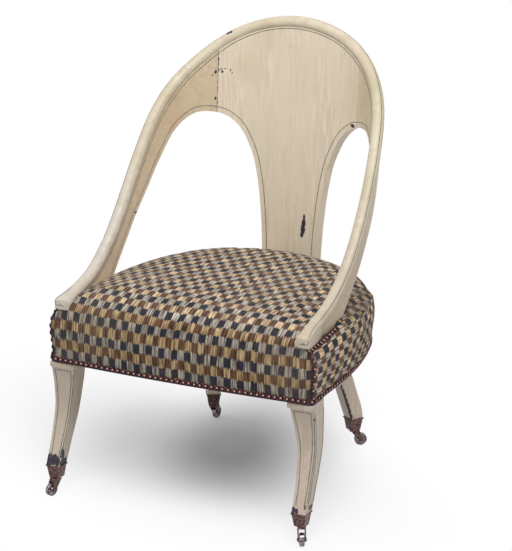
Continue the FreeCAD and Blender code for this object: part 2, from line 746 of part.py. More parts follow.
def caster_fork():
    """A crown plate under the cup with two cheeks that sweep back to the axle."""
    axle = Vector(CHEEK_INNER, -size("caster_trail"), size("wheel_radius"))
    front = Vector(CHEEK_INNER, size("fork_crown_radius") * 0.62, CROWN_BOTTOM + 1)
    rear = Vector(CHEEK_INNER, -size("fork_crown_radius") * 1.5, CROWN_BOTTOM + 1)
    touch_front = tangent_spot(front, axle, BOSS_RADIUS, -1)
    touch_rear = tangent_spot(rear, axle, BOSS_RADIUS, 1)
    bottom = axle + Vector(0, -0.5, -1).normalize() * BOSS_RADIUS
    edges = [Part.makeLine(rear, front), Part.makeLine(front, touch_front),
             Part.Arc(touch_front, bottom, touch_rear).toShape(), Part.makeLine(touch_rear, rear)]
    cheek = Part.Face(Part.Wire(edges)).extrude(Vector(size("fork_cheek_thickness"), 0, 0))
    crown = Part.makeCylinder(CHEEK_OUTER, size("fork_crown_thickness"), Vector(0, 0, CROWN_BOTTOM))
    bridge = box((-CHEEK_OUTER, CHEEK_OUTER), (rear.y, 0), (CROWN_BOTTOM, CROWN_TOP))
    bridge = bridge.makeFillet(1.2, [edge for edge in bridge.Edges if edge.BoundBox.YMax < rear.y + 0.1])
    fork = crown.fuse(bridge).fuse(cheek).fuse(reflected(cheek)).removeSplitter()
    pin_bore = Part.makeCylinder(size("swivel_radius"), FAR, Vector(0, 0, CROWN_BOTTOM - 1))
    axle_bore = Part.makeCylinder(size("axle_radius"), 4 * CHEEK_OUTER,
                                  axle - Vector(3 * CHEEK_OUTER, 0, 0), Vector(1, 0, 0))
    return fork.cut(pin_bore).cut(axle_bore)


def swivel_pin():
    """The pin riveted into the fork, with a flat head inside the cup."""
    shank = Part.makeCylinder(size("swivel_radius"), HEAD_TOP - CROWN_BOTTOM, Vector(0, 0, CROWN_BOTTOM))
    head = Part.makeCylinder(HEAD_RADIUS, size("rivet_head_height"),
                             Vector(0, 0, HEAD_TOP - size("rivet_head_height")))
    return shank.fuse(head).removeSplitter()


def wheel_axle():
    """The axle with a domed rivet head outside each cheek."""
    centre = Vector(0, -size("caster_trail"), size("wheel_radius"))
    axis = Vector(1, 0, 0)
    axle = Part.makeCylinder(size("axle_radius"), 2 * CHEEK_OUTER, centre - axis * CHEEK_OUTER, axis)
    for way in (1, -1):
        head = Part.makeCone(1.6 * size("axle_radius"), 0.9 * size("axle_radius"), size("rivet_head_height"),
                             centre + axis * (way * CHEEK_OUTER), axis * way)
        axle = axle.fuse(head)
    return axle.removeSplitter()


def caster_wheel(corner):
    """A turned wheel with a raised hub and rim."""
    label = "caster_%s_wheel" % corner
    body = doc.addObject("PartDesign::Body", label)
    side = "Sizes.wheel_width / 2"
    bore = "Sizes.axle_radius + Sizes.running_gap"
    hub = "2.1 * Sizes.axle_radius"
    rim = "Sizes.wheel_radius - 3.2"
    corner_cut = "1.3"
    half = [(side, bore), (side, hub), (side + " - 1.4", hub + " + 0.8"), (side + " - 1.4", rim),
            (side + " - 0.5", rim + " + 0.6"), (side + " - 0.5", "Sizes.wheel_radius - " + corner_cut),
            (side + " - 0.5 - " + corner_cut, "Sizes.wheel_radius")]
    mirror_half = [("-(%s)" % x, y) for x, y in reversed(half)]
    sketch = outline_sketch(body, "Section", "XY_Plane", half + mirror_half)
    doc.recompute()
    turned = body.newObject("PartDesign::Revolution", "Turned")
    turned.Profile = sketch
    turned.ReferenceAxis = (sketch, ["H_Axis"])
    turned.Angle = 360
    place_caster(body, label, corner, "Sizes.caster_trail")
    body.setExpression("Placement.Base.z", "Sizes.wheel_radius")
    return body


# The back and its rim.
FAR_BACK = 700.0
body_of_back = back_body(size("back_thickness") / 2, 0.0)
joint_x = size("board_joint_x")
middle_zone = box((-joint_x, joint_x), (0, FAR_BACK), (0, FAR))
right_zone = box((joint_x, FAR), (-FAR, FAR_BACK), (0, FAR))
board_holes = arm_dowel_set(size("dowel_radius"), size("glue_gap"))
joint_holes = board_dowel_set(size("dowel_radius"), size("dowel_length") + 2 * size("glue_gap"))
splat = body_of_back.common(middle_zone).fuse(splat_tenon(0)).removeSplitter()
splat = cut_all(splat, [joint_holes, reflected(joint_holes)])
shaped("back_splat", max(splat.Solids, key=lambda solid: solid.Volume))
stile = cut_all(body_of_back.common(right_zone), [joint_holes, board_holes])
mirrored(shaped("back_stile_right", stile), "back_stile_left")

rim = roll_solid(size("roll_diameter") / 2, ROLL_START)
rim = rim.common(box((-FAR, FAR), (size("arm_front"), FAR), (0, FAR)))
roll_x = size("roll_joint_x")
above_joint = (back_point(roll_x, 700).z, FAR)
shaped("rim_roll_crest", rim.common(box((-roll_x, roll_x), (0, FAR), above_joint)))
mirrored(shaped("rim_roll_right", rim.common(box((roll_x, FAR), (-FAR, FAR), (0, FAR)))), "rim_roll_left")

dowels = board_dowel_set(size("dowel_radius"), size("dowel_length")).Solids
shaped("board_dowels", Part.makeCompound(dowels + [reflected(pin) for pin in dowels]))
pegs = arm_dowel_set(size("dowel_radius"), 0).Solids
shaped("arm_dowels", Part.makeCompound(pegs + [reflected(pin) for pin in pegs]))

# The seat frame.
ring = rail_ring()
front_zone = box((-STILE_INNER, STILE_INNER), (-FAR, size("stile_depth")), (0, FAR))
front_rail = ring.common(front_zone).fuse([front_tenon(0), reflected(front_tenon(0))]).removeSplitter()
shaped("front_rail", front_rail)
behind_stile = box((0, FAR), (size("stile_depth"), FAR), (0, FAR))
side_rail = ring.common(behind_stile).common(beyond_rear_leg()).fuse(side_tenon(0)).removeSplitter()
side_rail = cut_all(side_rail, [arm_dowel_set(size("dowel_radius"), size("glue_gap"))] + screw_set(0))
mirrored(shaped("side_rail_right", side_rail), "side_rail_left")
back_rail = ring.common(box((-FAR, FAR), (size("side_straight_end"), FAR), (0, FAR)))
back_rail = cut_all(back_rail, [beyond_rear_leg(), reflected(beyond_rear_leg()), splat_tenon(size("glue_gap"))])
back_screws = screw_set(0)
back_rail = cut_all(back_rail, back_screws + [reflected(one) for one in back_screws])
shaped("back_rail", back_rail)
block = Part.Face(Part.makePolygon(BLOCK_CORNERS + BLOCK_CORNERS[:1])).extrude(
    Vector(0, 0, BLOCK_HIGH - BLOCK_LOW))
block = cut_all(block, [rail_ring(size("glue_gap"))] + screw_set(0))
block = max(block.Solids, key=lambda solid: solid.Volume)
mirrored(shaped("corner_block_right", block), "corner_block_left")
screws = screw_set(0)
shaped("frame_screws", Part.makeCompound(screws + [reflected(one) for one in screws]))

# The legs and casters.
mirrored(shaped("front_leg_right", front_leg()), "front_leg_left")
mirrored(shaped("rear_leg_right", rear_leg()), "rear_leg_left")
fork_shape = caster_fork()
for corner in CORNERS:
    caster_cup(corner)
    for piece, shape in (("fork", fork_shape), ("swivel_pin", swivel_pin()), ("axle", wheel_axle())):
        label = "caster_%s_%s" % (corner, piece)
        feature = doc.addObject("Part::Feature", label)
        feature.Shape = shape
        place_caster(feature, label, corner)
    caster_wheel(corner)

# The upholstery: webbing and hessian over the frame, the stuffing, and the cover with its bands.
WEB_X = (-140.0, -70.0, 0.0, 70.0, 140.0)
WEB_Y = (176.0, 243.0, 310.0, 377.0)
WEB_LAP = 20.0
web_area = seat_slab(RAIL_INSET + WEB_LAP / 2, size("rail_top"), FAR)
web_half = size("web_width") / 2
lengthwise_z = (size("rail_top"), size("rail_top") + size("web_thickness"))
crosswise_z = (lengthwise_z[1], lengthwise_z[1] + size("web_thickness"))
lengthwise = [web_area.common(box((x - web_half, x + web_half), (-FAR, FAR), lengthwise_z)) for x in WEB_X]
crosswise = [web_area.common(box((-FAR, FAR), (y - web_half, y + web_half), crosswise_z)) for y in WEB_Y]

slot_body = back_body(size("back_thickness") / 2 + size("soft_gap"), size("soft_gap"))
slot_body = slot_body.common(box((-FAR, FAR), (-FAR, FAR), (0, size("seat_edge_height") + size("crown_rise"))))
roll_slot = roll_solid(size("roll_diameter") / 2 + size("soft_gap"), ROLL_START)
roll_slot = roll_slot.common(box((-FAR, FAR), (size("arm_front") - 1, FAR), (0, FAR)))
splat_side = size("splat_half_width") + size("soft_gap")
splat_notch = box((-splat_side, splat_side), (size("seat_back") - 10, FAR), (size("rail_top") - 2, FAR))
slots = [slot_body, roll_slot, splat_notch]
for label, strips in (("webbing_lengthwise", lengthwise), ("webbing_crosswise", crosswise)):
    trimmed = [cut_all(strip, slots) for strip in strips]
    shaped(label, Part.makeCompound([max(strip.Solids, key=lambda solid: solid.Volume) for strip in trimmed]))

hessian_bottom = crosswise_z[1] + 0.1
hessian_top = hessian_bottom + size("hessian_thickness")
hessian = cut_all(seat_slab(RAIL_INSET + 6, hessian_bottom, hessian_top), slots)
shaped("hessian", max(hessian.Solids, key=lambda solid: solid.Volume))

pad_room = box((-FAR, FAR), (-FAR, FAR), (hessian_top + size("soft_gap"), FAR))
stuffing = cushion_solid(size("cover_thickness") + size("soft_gap")).common(pad_room)
stuffing = cut_all(stuffing, slots)
shaped("stuffing_pad", max(stuffing.Solids, key=lambda solid: solid.Volume))

cover = cushion_solid(0).cut(cushion_solid(size("cover_thickness")))
cover = cut_all(cover, slots)
BAND_FRONT = 2.0
band_zone = box((0, FAR), (BAND_FRONT, FAR), (0, size("seat_edge_height") + 3))
side_band = cover.common(band_zone)
side_band = max(side_band.Solids, key=lambda solid: solid.Volume)
mirrored(shaped("side_band_right", side_band), "side_band_left")
top_cover = cut_all(cover, [band_zone, reflected(band_zone)])
shaped("seat_cover", max(top_cover.Solids, key=lambda solid: solid.Volume))

band_low = size("cover_bottom") + 1
band_high = band_low + size("nail_band_height")
band_inset = 2 - size("soft_gap")
nail_band = seat_slab(band_inset - size("nail_band_thickness"), band_low, band_high)
shaped("nail_band", nail_band.cut(seat_slab(band_inset, band_low, band_high)))

cloth_low = size("rail_bottom") - size("bottom_cloth_thickness")
bottom_cloth = seat_slab(RAIL_INSET + 3, cloth_low, size("rail_bottom"))
leg_gap = size("soft_gap")
leg_room = box((STILE_INNER - leg_gap, FAR), (-FAR, size("stile_depth") + leg_gap), (0, FAR))
head_room = box((-size("rear_head_width") / 2 - leg_gap, size("rear_head_width") / 2 + leg_gap),
                (-HEAD_INNER - leg_gap, 0), (0, FAR))
head_room.rotate(Vector(), Vector(0, 0, 1), -size("rear_leg_turn"))
head_room.translate(REAR_FOOT)
bottom_cloth = cut_all(bottom_cloth, [leg_room, reflected(leg_room), head_room, reflected(head_room)])
shaped("bottom_cloth", max(bottom_cloth.Solids, key=lambda solid: solid.Volume))

doc.recompute()
for obj in doc.Objects:
    if "Invalid" in obj.State or "Error" in obj.State:
        raise RuntimeError("%s did not recompute: %s" % (obj.Label, obj.State))
for obj in PARTS:
    if obj.Shape.isNull() or not obj.Shape.isValid() or not obj.Shape.Solids:
        raise RuntimeError("%s has no valid solid" % obj.Label)
os.makedirs("parts", exist_ok=True)
for obj in PARTS:
    obj.Shape.exportStep("parts/%s.step" % obj.Label)
whole = Part.makeCompound([obj.Shape for obj in PARTS])
corners = whole.tessellate(0.5)[0]
for axis in ("x", "y", "z"):
    values = [getattr(corner, axis) for corner in corners]
    print("%s from %.2f to %.2f" % (axis, min(values), max(values)))
print("%d sub-parts" % len(PARTS))
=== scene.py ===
# %% [markdown]
# # A painted spoon-back chair
# The chair has a barrel-shaped wooden back with two arched openings, a rolled rim that runs down into
# the arms, a stuffed seat in a woven check, sabre legs and brass casters. The wood and the casters come
# from the solid model as they are and only get their finish here. The seat is modelled again as cloth,
# because a solid can't be as soft as stuffed cloth.

# %% Load the solid model
import math
import random
from functools import partial

import bpy
import numpy as np
from mathutils import Matrix, Vector
from mathutils.bvhtree import BVHTree


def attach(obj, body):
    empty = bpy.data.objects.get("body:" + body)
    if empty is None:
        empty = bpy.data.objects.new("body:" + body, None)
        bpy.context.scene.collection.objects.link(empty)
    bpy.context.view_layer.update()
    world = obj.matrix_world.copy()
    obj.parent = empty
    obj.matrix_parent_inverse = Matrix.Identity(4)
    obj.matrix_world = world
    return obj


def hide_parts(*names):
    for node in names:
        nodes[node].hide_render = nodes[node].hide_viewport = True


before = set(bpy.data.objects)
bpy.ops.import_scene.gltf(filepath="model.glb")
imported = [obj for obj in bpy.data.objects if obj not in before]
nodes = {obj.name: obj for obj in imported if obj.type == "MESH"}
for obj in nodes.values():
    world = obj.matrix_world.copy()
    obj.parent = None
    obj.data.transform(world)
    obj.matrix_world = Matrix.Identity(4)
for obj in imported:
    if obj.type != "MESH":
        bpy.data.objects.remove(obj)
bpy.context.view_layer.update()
scene = bpy.context.scene
bpy.ops.object.select_all(action="DESELECT")

# %% [markdown]
# The camera stands where the photographer stood: to the chair's right front and a little above it,
# with a long lens. Its place, direction and lens are worked out from the chair's symmetry: points that
# mirror each other give all three. The set-back is the distance from the frame's origin forward to the
# front line of the seat, and places that were measured from that line have it taken off.

# %% Camera
SETBACK = 0.23548
CAMERA_PLACE = Vector((1.66016, -3.12339 - SETBACK, 1.59381))
CAMERA_LOOK = Vector((-0.41352, 0.85761, -0.30578))
bpy.ops.object.camera_add(location=CAMERA_PLACE)
camera = bpy.context.object
camera.rotation_euler = CAMERA_LOOK.to_track_quat("-Z", "Y").to_euler()
camera.data.lens = 137.2
camera.data.sensor_width = 36
scene.camera = camera
print("camera at", [round(v, 2) for v in CAMERA_PLACE])

# %% [markdown]
# Finishes are trees of nodes. These helpers add a node and wire it in one step. A new node goes into
# the tree of the first socket that is linked to it, so the tree is only named where nothing is linked.
# The same trees could be drawn by hand in the shader editor, but written out they can be read in order.

# %% Node helpers
Socket = bpy.types.NodeSocket
WHITE = (1, 1, 1, 1)


def wire(sockets, values):
    """Link or set the inputs of a node by name."""
    for key, value in values.items():
        if isinstance(value, Socket):
            value.id_data.links.new(value, sockets[key])
        else:
            sockets[key].default_value = value


def add_node(kind, inputs, tree=None, **settings):
    """A node with its settings, and its inputs either linked or set."""
    tree = tree or next(value for value in inputs.values() if isinstance(value, Socket)).id_data
    node = tree.nodes.new(kind)
    for key, value in settings.items():
        setattr(node, key, value)
    wire(node.inputs, inputs)
    return node


def maths(operation, first, second=0.0, clamp=False):
    """The result of one sum on numbers or sockets."""
    return add_node("ShaderNodeMath", {0: first, 1: second}, operation=operation, use_clamp=clamp).outputs[0]


times, plus, minus, divide, larger = [partial(maths, operation) for operation in
                                      ("MULTIPLY", "ADD", "SUBTRACT", "DIVIDE", "MAXIMUM")]


def vector_maths(operation, first, second=(0, 0, 0), output="Vector"):
    """The result of one sum on vectors."""
    return add_node("ShaderNodeVectorMath", {0: first, 1: second}, operation=operation).outputs[output]


def noise(position, scale, detail=2.0, roughness=0.5):
    """Smooth noise from 0 to 1 at a position."""
    return add_node("ShaderNodeTexNoise", {"Vector": position, "Scale": scale, "Detail": detail,
                                           "Roughness": roughness}).outputs["Fac"]


def between(value, low, high, out_low=0.0, out_high=1.0):
    """A value moved smoothly from one range to another, and held there."""
    return add_node("ShaderNodeMapRange", {"Value": value, "From Min": low, "From Max": high, "To Min": out_low,
                                           "To Max": out_high}, interpolation_type="SMOOTHSTEP").outputs["Result"]


def blend(amount, first, second, mode="MIX"):
    """Two colours mixed by an amount."""
    return add_node("ShaderNodeMix", {0: amount, 6: first, 7: second}, data_type="RGBA", blend_type=mode).outputs[2]


def split(position):
    """The X, Y and Z of a vector."""
    return add_node("ShaderNodeSeparateXYZ", {0: position}).outputs


def bump(height):
    """The normal of a surface that is raised by a height in metres."""
    return add_node("ShaderNodeBump", {"Height": height, "Strength": 1.0, "Distance": 1.0}).outputs[0]


def tone(red, green, blue):
    """A colour as it is seen, 0 to 255, in the numbers that a shader takes."""
    return tuple(((v / 255 + 0.055) / 1.055) ** 2.4 if v > 10 else v / 255 / 12.92
                 for v in (red, green, blue)) + (1.0,)


print("a grey of 128 is", round(tone(128, 128, 128)[0], 3), "for a shader")

# %% [markdown]
# An effect that several finishes share is a node group with named inputs and outputs, and each material
# places it with its own values. So a change to the effect reaches all of them. A material starts with
# its shader and the object's own coordinates.

# %% Effects and materials


def new_effect(name, inputs, outputs):
    """An empty node group, what it is given and what it gives."""
    group = bpy.data.node_groups.new(name, "ShaderNodeTree")
    for way, sockets in (("INPUT", inputs), ("OUTPUT", outputs)):
        for label, kind in sockets.items():
            group.interface.new_socket(name=label, in_out=way, socket_type="NodeSocket" + kind)
    return group, group.nodes.new("NodeGroupInput").outputs, group.nodes.new("NodeGroupOutput").inputs


def use_effect(effect, **inputs):
    """The outputs of a node group placed in a material."""
    return add_node("ShaderNodeGroup", inputs, node_tree=effect).outputs


def new_material(name):
    """A material, its tree, the inputs of its shader and its object coordinates."""
    material = bpy.data.materials.new(name)
    material.use_nodes = True
    tree = material.node_tree
    tree.nodes.clear()
    shader = tree.nodes.new("ShaderNodeBsdfPrincipled")
    add_node("ShaderNodeOutputMaterial", {"Surface": shader.outputs[0]})
    return material, tree, shader.inputs, tree.nodes.new("ShaderNodeTexCoord").outputs["Object"]


def wear_finish(obj, material):
    """Give an object one material."""
    obj.data.materials.clear()
    obj.data.materials.append(material)


# %% [markdown]
# The studio is a white floor that runs into a white background, one large soft lamp above the chair's
# left front and a weaker one on the other side. Large lamps are chosen for their soft shadows. The world
# fills the shadows a little, and the camera and shiny metal see it white.

# %% Studio
scene.view_settings.view_transform = "Standard"
world = bpy.data.worlds.new("white studio")
scene.world = world
world.use_nodes = True
sky = world.node_tree
sky.nodes.clear()
path = sky.nodes.new("ShaderNodeLightPath").outputs
sky_fill, sky_seen = [add_node("ShaderNodeBackground", {"Color": WHITE, "Strength": strength}, sky).outputs[0]
                      for strength in (0.45, 1.0)]
sky_mix = add_node("ShaderNodeMixShader", {"Fac": larger(path["Is Camera Ray"], path["Is Glossy Ray"]),
                                           1: sky_fill, 2: sky_seen})
add_node("ShaderNodeOutputWorld", {"Surface": sky_mix.outputs[0]})

LAMP_AIM = Vector((0, 0, 0.4))
for name, place, width, power in (("key lamp", (0.7, -1.1, 3.1), 1.7, 74), ("side lamp", (-2.4, -1.0, 1.9), 1.6, 9)):
    bpy.ops.object.light_add(type="AREA", location=place)
    lamp = bpy.context.object
    lamp.name = name
    lamp.data.size = width
    lamp.data.energy = power
    lamp.rotation_euler = (LAMP_AIM - Vector(place)).to_track_quat("-Z", "Y").to_euler()
    print(name, "gives", power, "watts")

bpy.ops.mesh.primitive_plane_add(size=14, location=(0, 0, 0))
floor = bpy.context.object
floor.name = "floor"

# %% [markdown]
# The floor is a plain pale grey to everything but the camera and shiny metal. These see it turn white away
# from the chair, so the picture has a white ground. Near the chair, soft painted shades let the grey lit
# floor show with the chair's real shadow in it, so the dark pool there is partly real shadow and partly
# painted shade.

# %% Floor finish
# The middle, the radii, the turn, the reach and the depth of each painted soft shade on the ground.
PAINTED_GROUND_SHADE = [((-0.1504, 0.0394, 0), (0.2616, 0.5263, 1), 1.14, 1.482, 0.688),
                ((-0.0464, 0.2248, 0), (0.1193, 0.2450, 1), 0.196, 2.038, 0.578)]
floor_finish, tree, shader, position = new_material("studio floor")
path = tree.nodes.new("ShaderNodeLightPath").outputs
seen = larger(larger(path["Is Camera Ray"], path["Is Glossy Ray"]), path["Is Transmission Ray"])
wire(shader, {"Base Color": (0.79, 0.79, 0.80, 1), "Roughness": 0.9, "Specular IOR Level": 0.1,
              "Emission Color": WHITE, "Emission Strength": times(seen, 0.03)})
white = add_node("ShaderNodeEmission", {"Color": WHITE, "Strength": 1.0}, tree)
brightness = 1.0
# Each painted shade takes white away near the chair, so the grey lit floor shows there.
for middle, radii, turn, reach, strength in PAINTED_GROUND_SHADE:
    local = add_node("ShaderNodeMapping", {"Vector": position, "Location": middle, "Rotation": (0, 0, turn),
                                           "Scale": radii}, vector_type="TEXTURE").outputs[0]
    away = vector_maths("LENGTH", local, output="Value")
    brightness = minus(brightness, between(away, 0.0, reach, strength, 0.0), clamp=True)
mixed = add_node("ShaderNodeMixShader", {0: times(seen, brightness), 1: tree.nodes["Principled BSDF"].outputs[0],
                                         2: white.outputs[0]})
wire(tree.nodes["Material Output"].inputs, {"Surface": mixed.outputs[0]})
wear_finish(floor, floor_finish)
print("the floor's finish has", len(tree.nodes), "nodes")

# %% [markdown]
# Old hand-brushed paint is never one colour. Brush hairs leave fine streaks along the stroke, the coat
# is thicker in places, and a century of handling has stained it in soft clouds of pink and olive.
# A picture of paint would stretch on the curved boards, so the effect is made of noise in the piece's
# own coordinates. It gives a colour, a roughness and a height for the bump.

# %% Brushed paint effect
brushed_paint, given, gives = new_effect(
    "brushed paint", {"Position": "Vector", "Paint": "Color", "Streaks": "Vector", "Stain": "Float"},
    {"Colour": "Color", "Roughness": "Float", "Height": "Float"})
place = given["Position"]
stretched = vector_maths("MULTIPLY", place, given["Streaks"])
hairs = noise(stretched, 1.0, 3.0, 0.6)
strokes = noise(stretched, 0.28, 2.0)
clouds = noise(place, 9.0, 3.0)
pink_clouds = noise(vector_maths("ADD", place, (3, 1, 7)), 6.0, 2.0)
dust = noise(place, 60.0, 4.0, 0.7)
light = blend(between(hairs, 0.35, 0.7), tone(206, 190, 163), tone(226, 212, 190))
stroked = blend(between(strokes, 0.3, 0.7), light, given["Paint"])
olive = blend(times(given["Stain"], between(clouds, 0.5, 0.75)), stroked, tone(188, 178, 142))
pink = blend(times(given["Stain"], between(pink_clouds, 0.52, 0.75)), olive, tone(214, 188, 164))
dusty = blend(between(dust, 0.58, 0.8, 0.0, 0.35), pink, tone(176, 162, 138))
wire(gives, {"Colour": dusty, "Roughness": between(strokes, 0.2, 0.8, 0.36, 0.52), "Height": hairs})
print("brushed paint has", len(brushed_paint.nodes), "nodes")

# %% [markdown]
# A chip is a spot where the paint has come away and the dark wood shows. It could be cut into the mesh,
# but paint is so thin that a mask is enough. It measures how far a point lies from the chip's middle,
# as a share of its reach, and noise makes the outline ragged.

# %% Chip effect
chip_spot, given, gives = new_effect(
    "chip", {"Position": "Vector", "Middle": "Vector", "Reach": "Vector", "Ragged": "Float"}, {"Mask": "Float"})
share = vector_maths("DIVIDE", vector_maths("SUBTRACT", given["Position"], given["Middle"]), given["Reach"])
wobble = minus(noise(given["Position"], 420.0, 3.0, 0.7), 0.5)
edge = plus(vector_maths("LENGTH", share, output="Value"), times(wobble, given["Ragged"]))
wire(gives, {"Mask": between(edge, 1.05, 0.95)})
print("a chip has", len(chip_spot.nodes), "nodes")

# %% [markdown]
# Corners that hands and feet rub lose their paint first. A rounded normal differs from the true one
# only near an edge, so the difference of the two marks the edges, and noise breaks the mark up.

# %% Rubbed edge effect
rubbed_edge, given, gives = new_effect("rubbed edge", {"Position": "Vector", "Width": "Float"}, {"Mask": "Float"})
round_normal = add_node("ShaderNodeBevel", {"Radius": given["Width"]}, samples=4).outputs[0]
true_normal = rubbed_edge.nodes.new("ShaderNodeNewGeometry").outputs["Normal"]
near_edge = between(vector_maths("DOT_PRODUCT", round_normal, true_normal, output="Value"), 0.98, 0.80)
patchy = between(noise(given["Position"], 130.0, 4.0, 0.7), 0.55, 0.68)
wire(gives, {"Mask": times(near_edge, patchy)})
print("a rubbed edge has", len(rubbed_edge.nodes), "nodes")

# %% [markdown]
# The back is made of boards glued edge to edge. The glue line on one side has opened into a dark,
# uneven crack with chips along it, and on the other side it only shows as a faint line. The crack is a
# mask too: a thin line whose place and width both wander. Places on the chair are given in millimetres,
# measured back from the front line of the seat.

# %% Chips and board joints
BOARD_JOINT = 0.1485
CRACK_END = 0.004


def place_mm(x, y, z):
    """A place in metres, from millimetres behind the seat's front line."""
    return x / 1000, y / 1000 - SETBACK, z / 1000


def chip(position, x, y, z, wide, tall, deep=6.0):
    """The mask of a chip, from its middle and its whole size in millimetres; deep is half its depth."""
    return use_effect(chip_spot, Position=position, Middle=place_mm(x, y, z),
                      Reach=(wide / 2000, deep / 1000, tall / 2000), Ragged=1.1)["Mask"]


def joint_crack(position, side, low, high, width, strength):
    """The mask of a wandering dark line on a plane of constant X, between two heights."""
    x, y, z = split(position)
    wander = times(minus(noise(position, 70.0, 3.0), 0.5), 0.0035)
    away = maths("ABSOLUTE", minus(x, plus(wander, side * BOARD_JOINT)))
    swell = between(noise(position, 110.0, 3.0, 0.8), 0.38, 0.7, 0.30, 1.0)
    line = between(divide(away, times(swell, width)), 1.3, 0.7)
    inside = times(between(z, low, low + CRACK_END), between(z, high, high - CRACK_END))
    return times(times(line, inside), strength)


# %% [markdown]
# The cream paint is one recipe for all the painted wood. Each part chooses the direction of its brush
# streaks and its own chips. A chip shows dark old wood, sits a little lower and is duller.

# %% Cream paint recipe
CREAM = tone(217, 203, 178)
BARE = tone(38, 28, 30)
BLUE_BLACK = tone(46, 40, 62)
RUBBED = tone(120, 104, 84)
TINT_LOW, TINT_HIGH = 0.42, 0.64


def cream_paint(name, streaks, tint, low_tint=None, chips=(), cracks=(), stain=0.55, rub=0.35):
    """Painted wood: streaks scale the position across the brush strokes, chips and cracks are places.

    The tint is a tone multiplied into the paint. It may change down the piece to a second tint.
    """
    material, tree, shader, position = new_material("cream paint of the " + name)
    paint = use_effect(brushed_paint, Position=position, Paint=CREAM, Streaks=streaks, Stain=stain)
    bare = None
    for mask in [chip(position, *spot) for spot in chips] + [joint_crack(position, *line) for line in cracks]:
        bare = mask if bare is None else larger(bare, mask)
    rubbed = times(use_effect(rubbed_edge, Position=position, Width=0.0016)["Mask"], rub)
    height_tint = blend(between(split(position)["Z"], TINT_LOW, TINT_HIGH), tone(*(low_tint or tint)), tone(*tint))
    colour = blend(rubbed, blend(1.0, paint["Colour"], height_tint, "MULTIPLY"), RUBBED)
    height = times(paint["Height"], 0.00006)
    if bare is not None:
        colour = blend(bare, colour, blend(between(noise(position, 300.0, 3.0), 0.4, 0.6), BARE, BLUE_BLACK))
        height = minus(height, times(bare, 0.0003))
    wire(shader, {"Base Color": colour, "Roughness": paint["Roughness"], "Normal": bump(height),
                  "Specular IOR Level": 0.42})
    return material


# %% [markdown]
# The wood keeps the shapes of the solid model. Its round parts are made of small flats, so each piece
# gets its edges split at real corners and smooth shading between them. Nothing in its mesh changes.

# %% Smooth the solid pieces
CORNER_ANGLE = math.radians(32)
BACK_PIECES = ["back_splat", "back_stile_left", "back_stile_right"]
RIM_PIECES = ["rim_roll_crest", "rim_roll_left", "rim_roll_right"]
LEG_PIECES = ["front_leg_left", "front_leg_right", "rear_leg_left", "rear_leg_right"]
CASTER_PIECES = ["caster_%s_%s" % (corner, piece)
                 for corner in ("front_right", "front_left", "rear_right", "rear_left")
                 for piece in ("cup", "fork", "swivel_pin", "axle", "wheel")]
for name in BACK_PIECES + RIM_PIECES + LEG_PIECES + CASTER_PIECES:
    piece = nodes[name]
    for face in piece.data.polygons:
        face.use_smooth = True
    piece.modifiers.new("joined points", "WELD").merge_threshold = 0.00001
    piece.modifiers.new("sharp corners", "EDGE_SPLIT").split_angle = CORNER_ANGLE
print("smoothed", len(BACK_PIECES + RIM_PIECES + LEG_PIECES + CASTER_PIECES), "pieces")

# %% [markdown]
# Chips and stains are placed where the real chair has them: a dark drop on the splat, a knock on the
# rim near its left end, one over each opening, and black bands where the legs enter the casters.

# %% Paint of the wood
UPRIGHT_STREAKS = (240, 240, 9)
LEG_STREAKS = (190, 190, 8)
STILE_STREAKS = (90, 90, 90)
RIM_STREAKS = (70, 70, 70)
RIM_TINT = (238, 240, 240)

splat_paint = cream_paint(
    "splat", UPRIGHT_STREAKS, (259, 259, 263), stain=0.32,
    chips=[(30.5, 472.5, 445, 5, 14), (30, 472, 433, 8.5, 20), (28.5, 472, 421, 9.5, 22),
           (26.5, 471.5, 410.5, 7, 12), (-141, 461, 722, 4, 5), (-143, 459.5, 727, 6, 2),
           (-136, 464, 728, 5, 1.6), (-127, 468, 725, 1.8, 5), (-124, 470, 720, 1.8, 3),
           (137.5, 457, 644, 13, 7, 9)],
    cracks=[(-1, 0.640, 0.790, 0.0021, 1.0), (1, 0.645, 0.77, 0.0007, 0.45)])
left_stile_paint = cream_paint(
    "left stile", STILE_STREAKS, (238, 231, 222), (248, 239, 234),
    chips=[(-156.9, 450.3, 716, 2.4, 2.4), (-229, 266, 477.5, 4, 4), (-152, 453, 722, 4, 7),
           (-151, 453, 670, 3, 8)])
right_stile_paint = cream_paint("right stile", STILE_STREAKS, (252, 250, 248), (224, 215, 208))
crest_paint = cream_paint("crest", RIM_STREAKS, RIM_TINT, rub=0.55,
                          chips=[(-131, 476, 799, 8, 6, 7), (-136, 474, 796.5, 8, 6, 7)])
left_rim_paint = cream_paint("left rim", RIM_STREAKS, RIM_TINT, (237, 241, 256), rub=0.55)
right_rim_paint = cream_paint("right rim", RIM_STREAKS, RIM_TINT, (228, 227, 230), rub=0.55)
# The rear legs' tint is lighter than the front legs': painted light, for fill light that reaches them.
rear_leg_paint = cream_paint(
    "rear legs", LEG_STREAKS, (255, 253, 262), rub=0.8,
    chips=[(158, 421, 66, 8, 14, 5), (155.8, 418.9, 76, 5.6, 21, 5), (154.2, 415, 87, 5, 22, 5),
           (152, 412, 98, 4.6, 22, 5), (150, 408.5, 109, 4.2, 22, 5), (148, 405.5, 120, 3.8, 20, 5),
           (145.6, 402, 131, 3.4, 18, 5)])
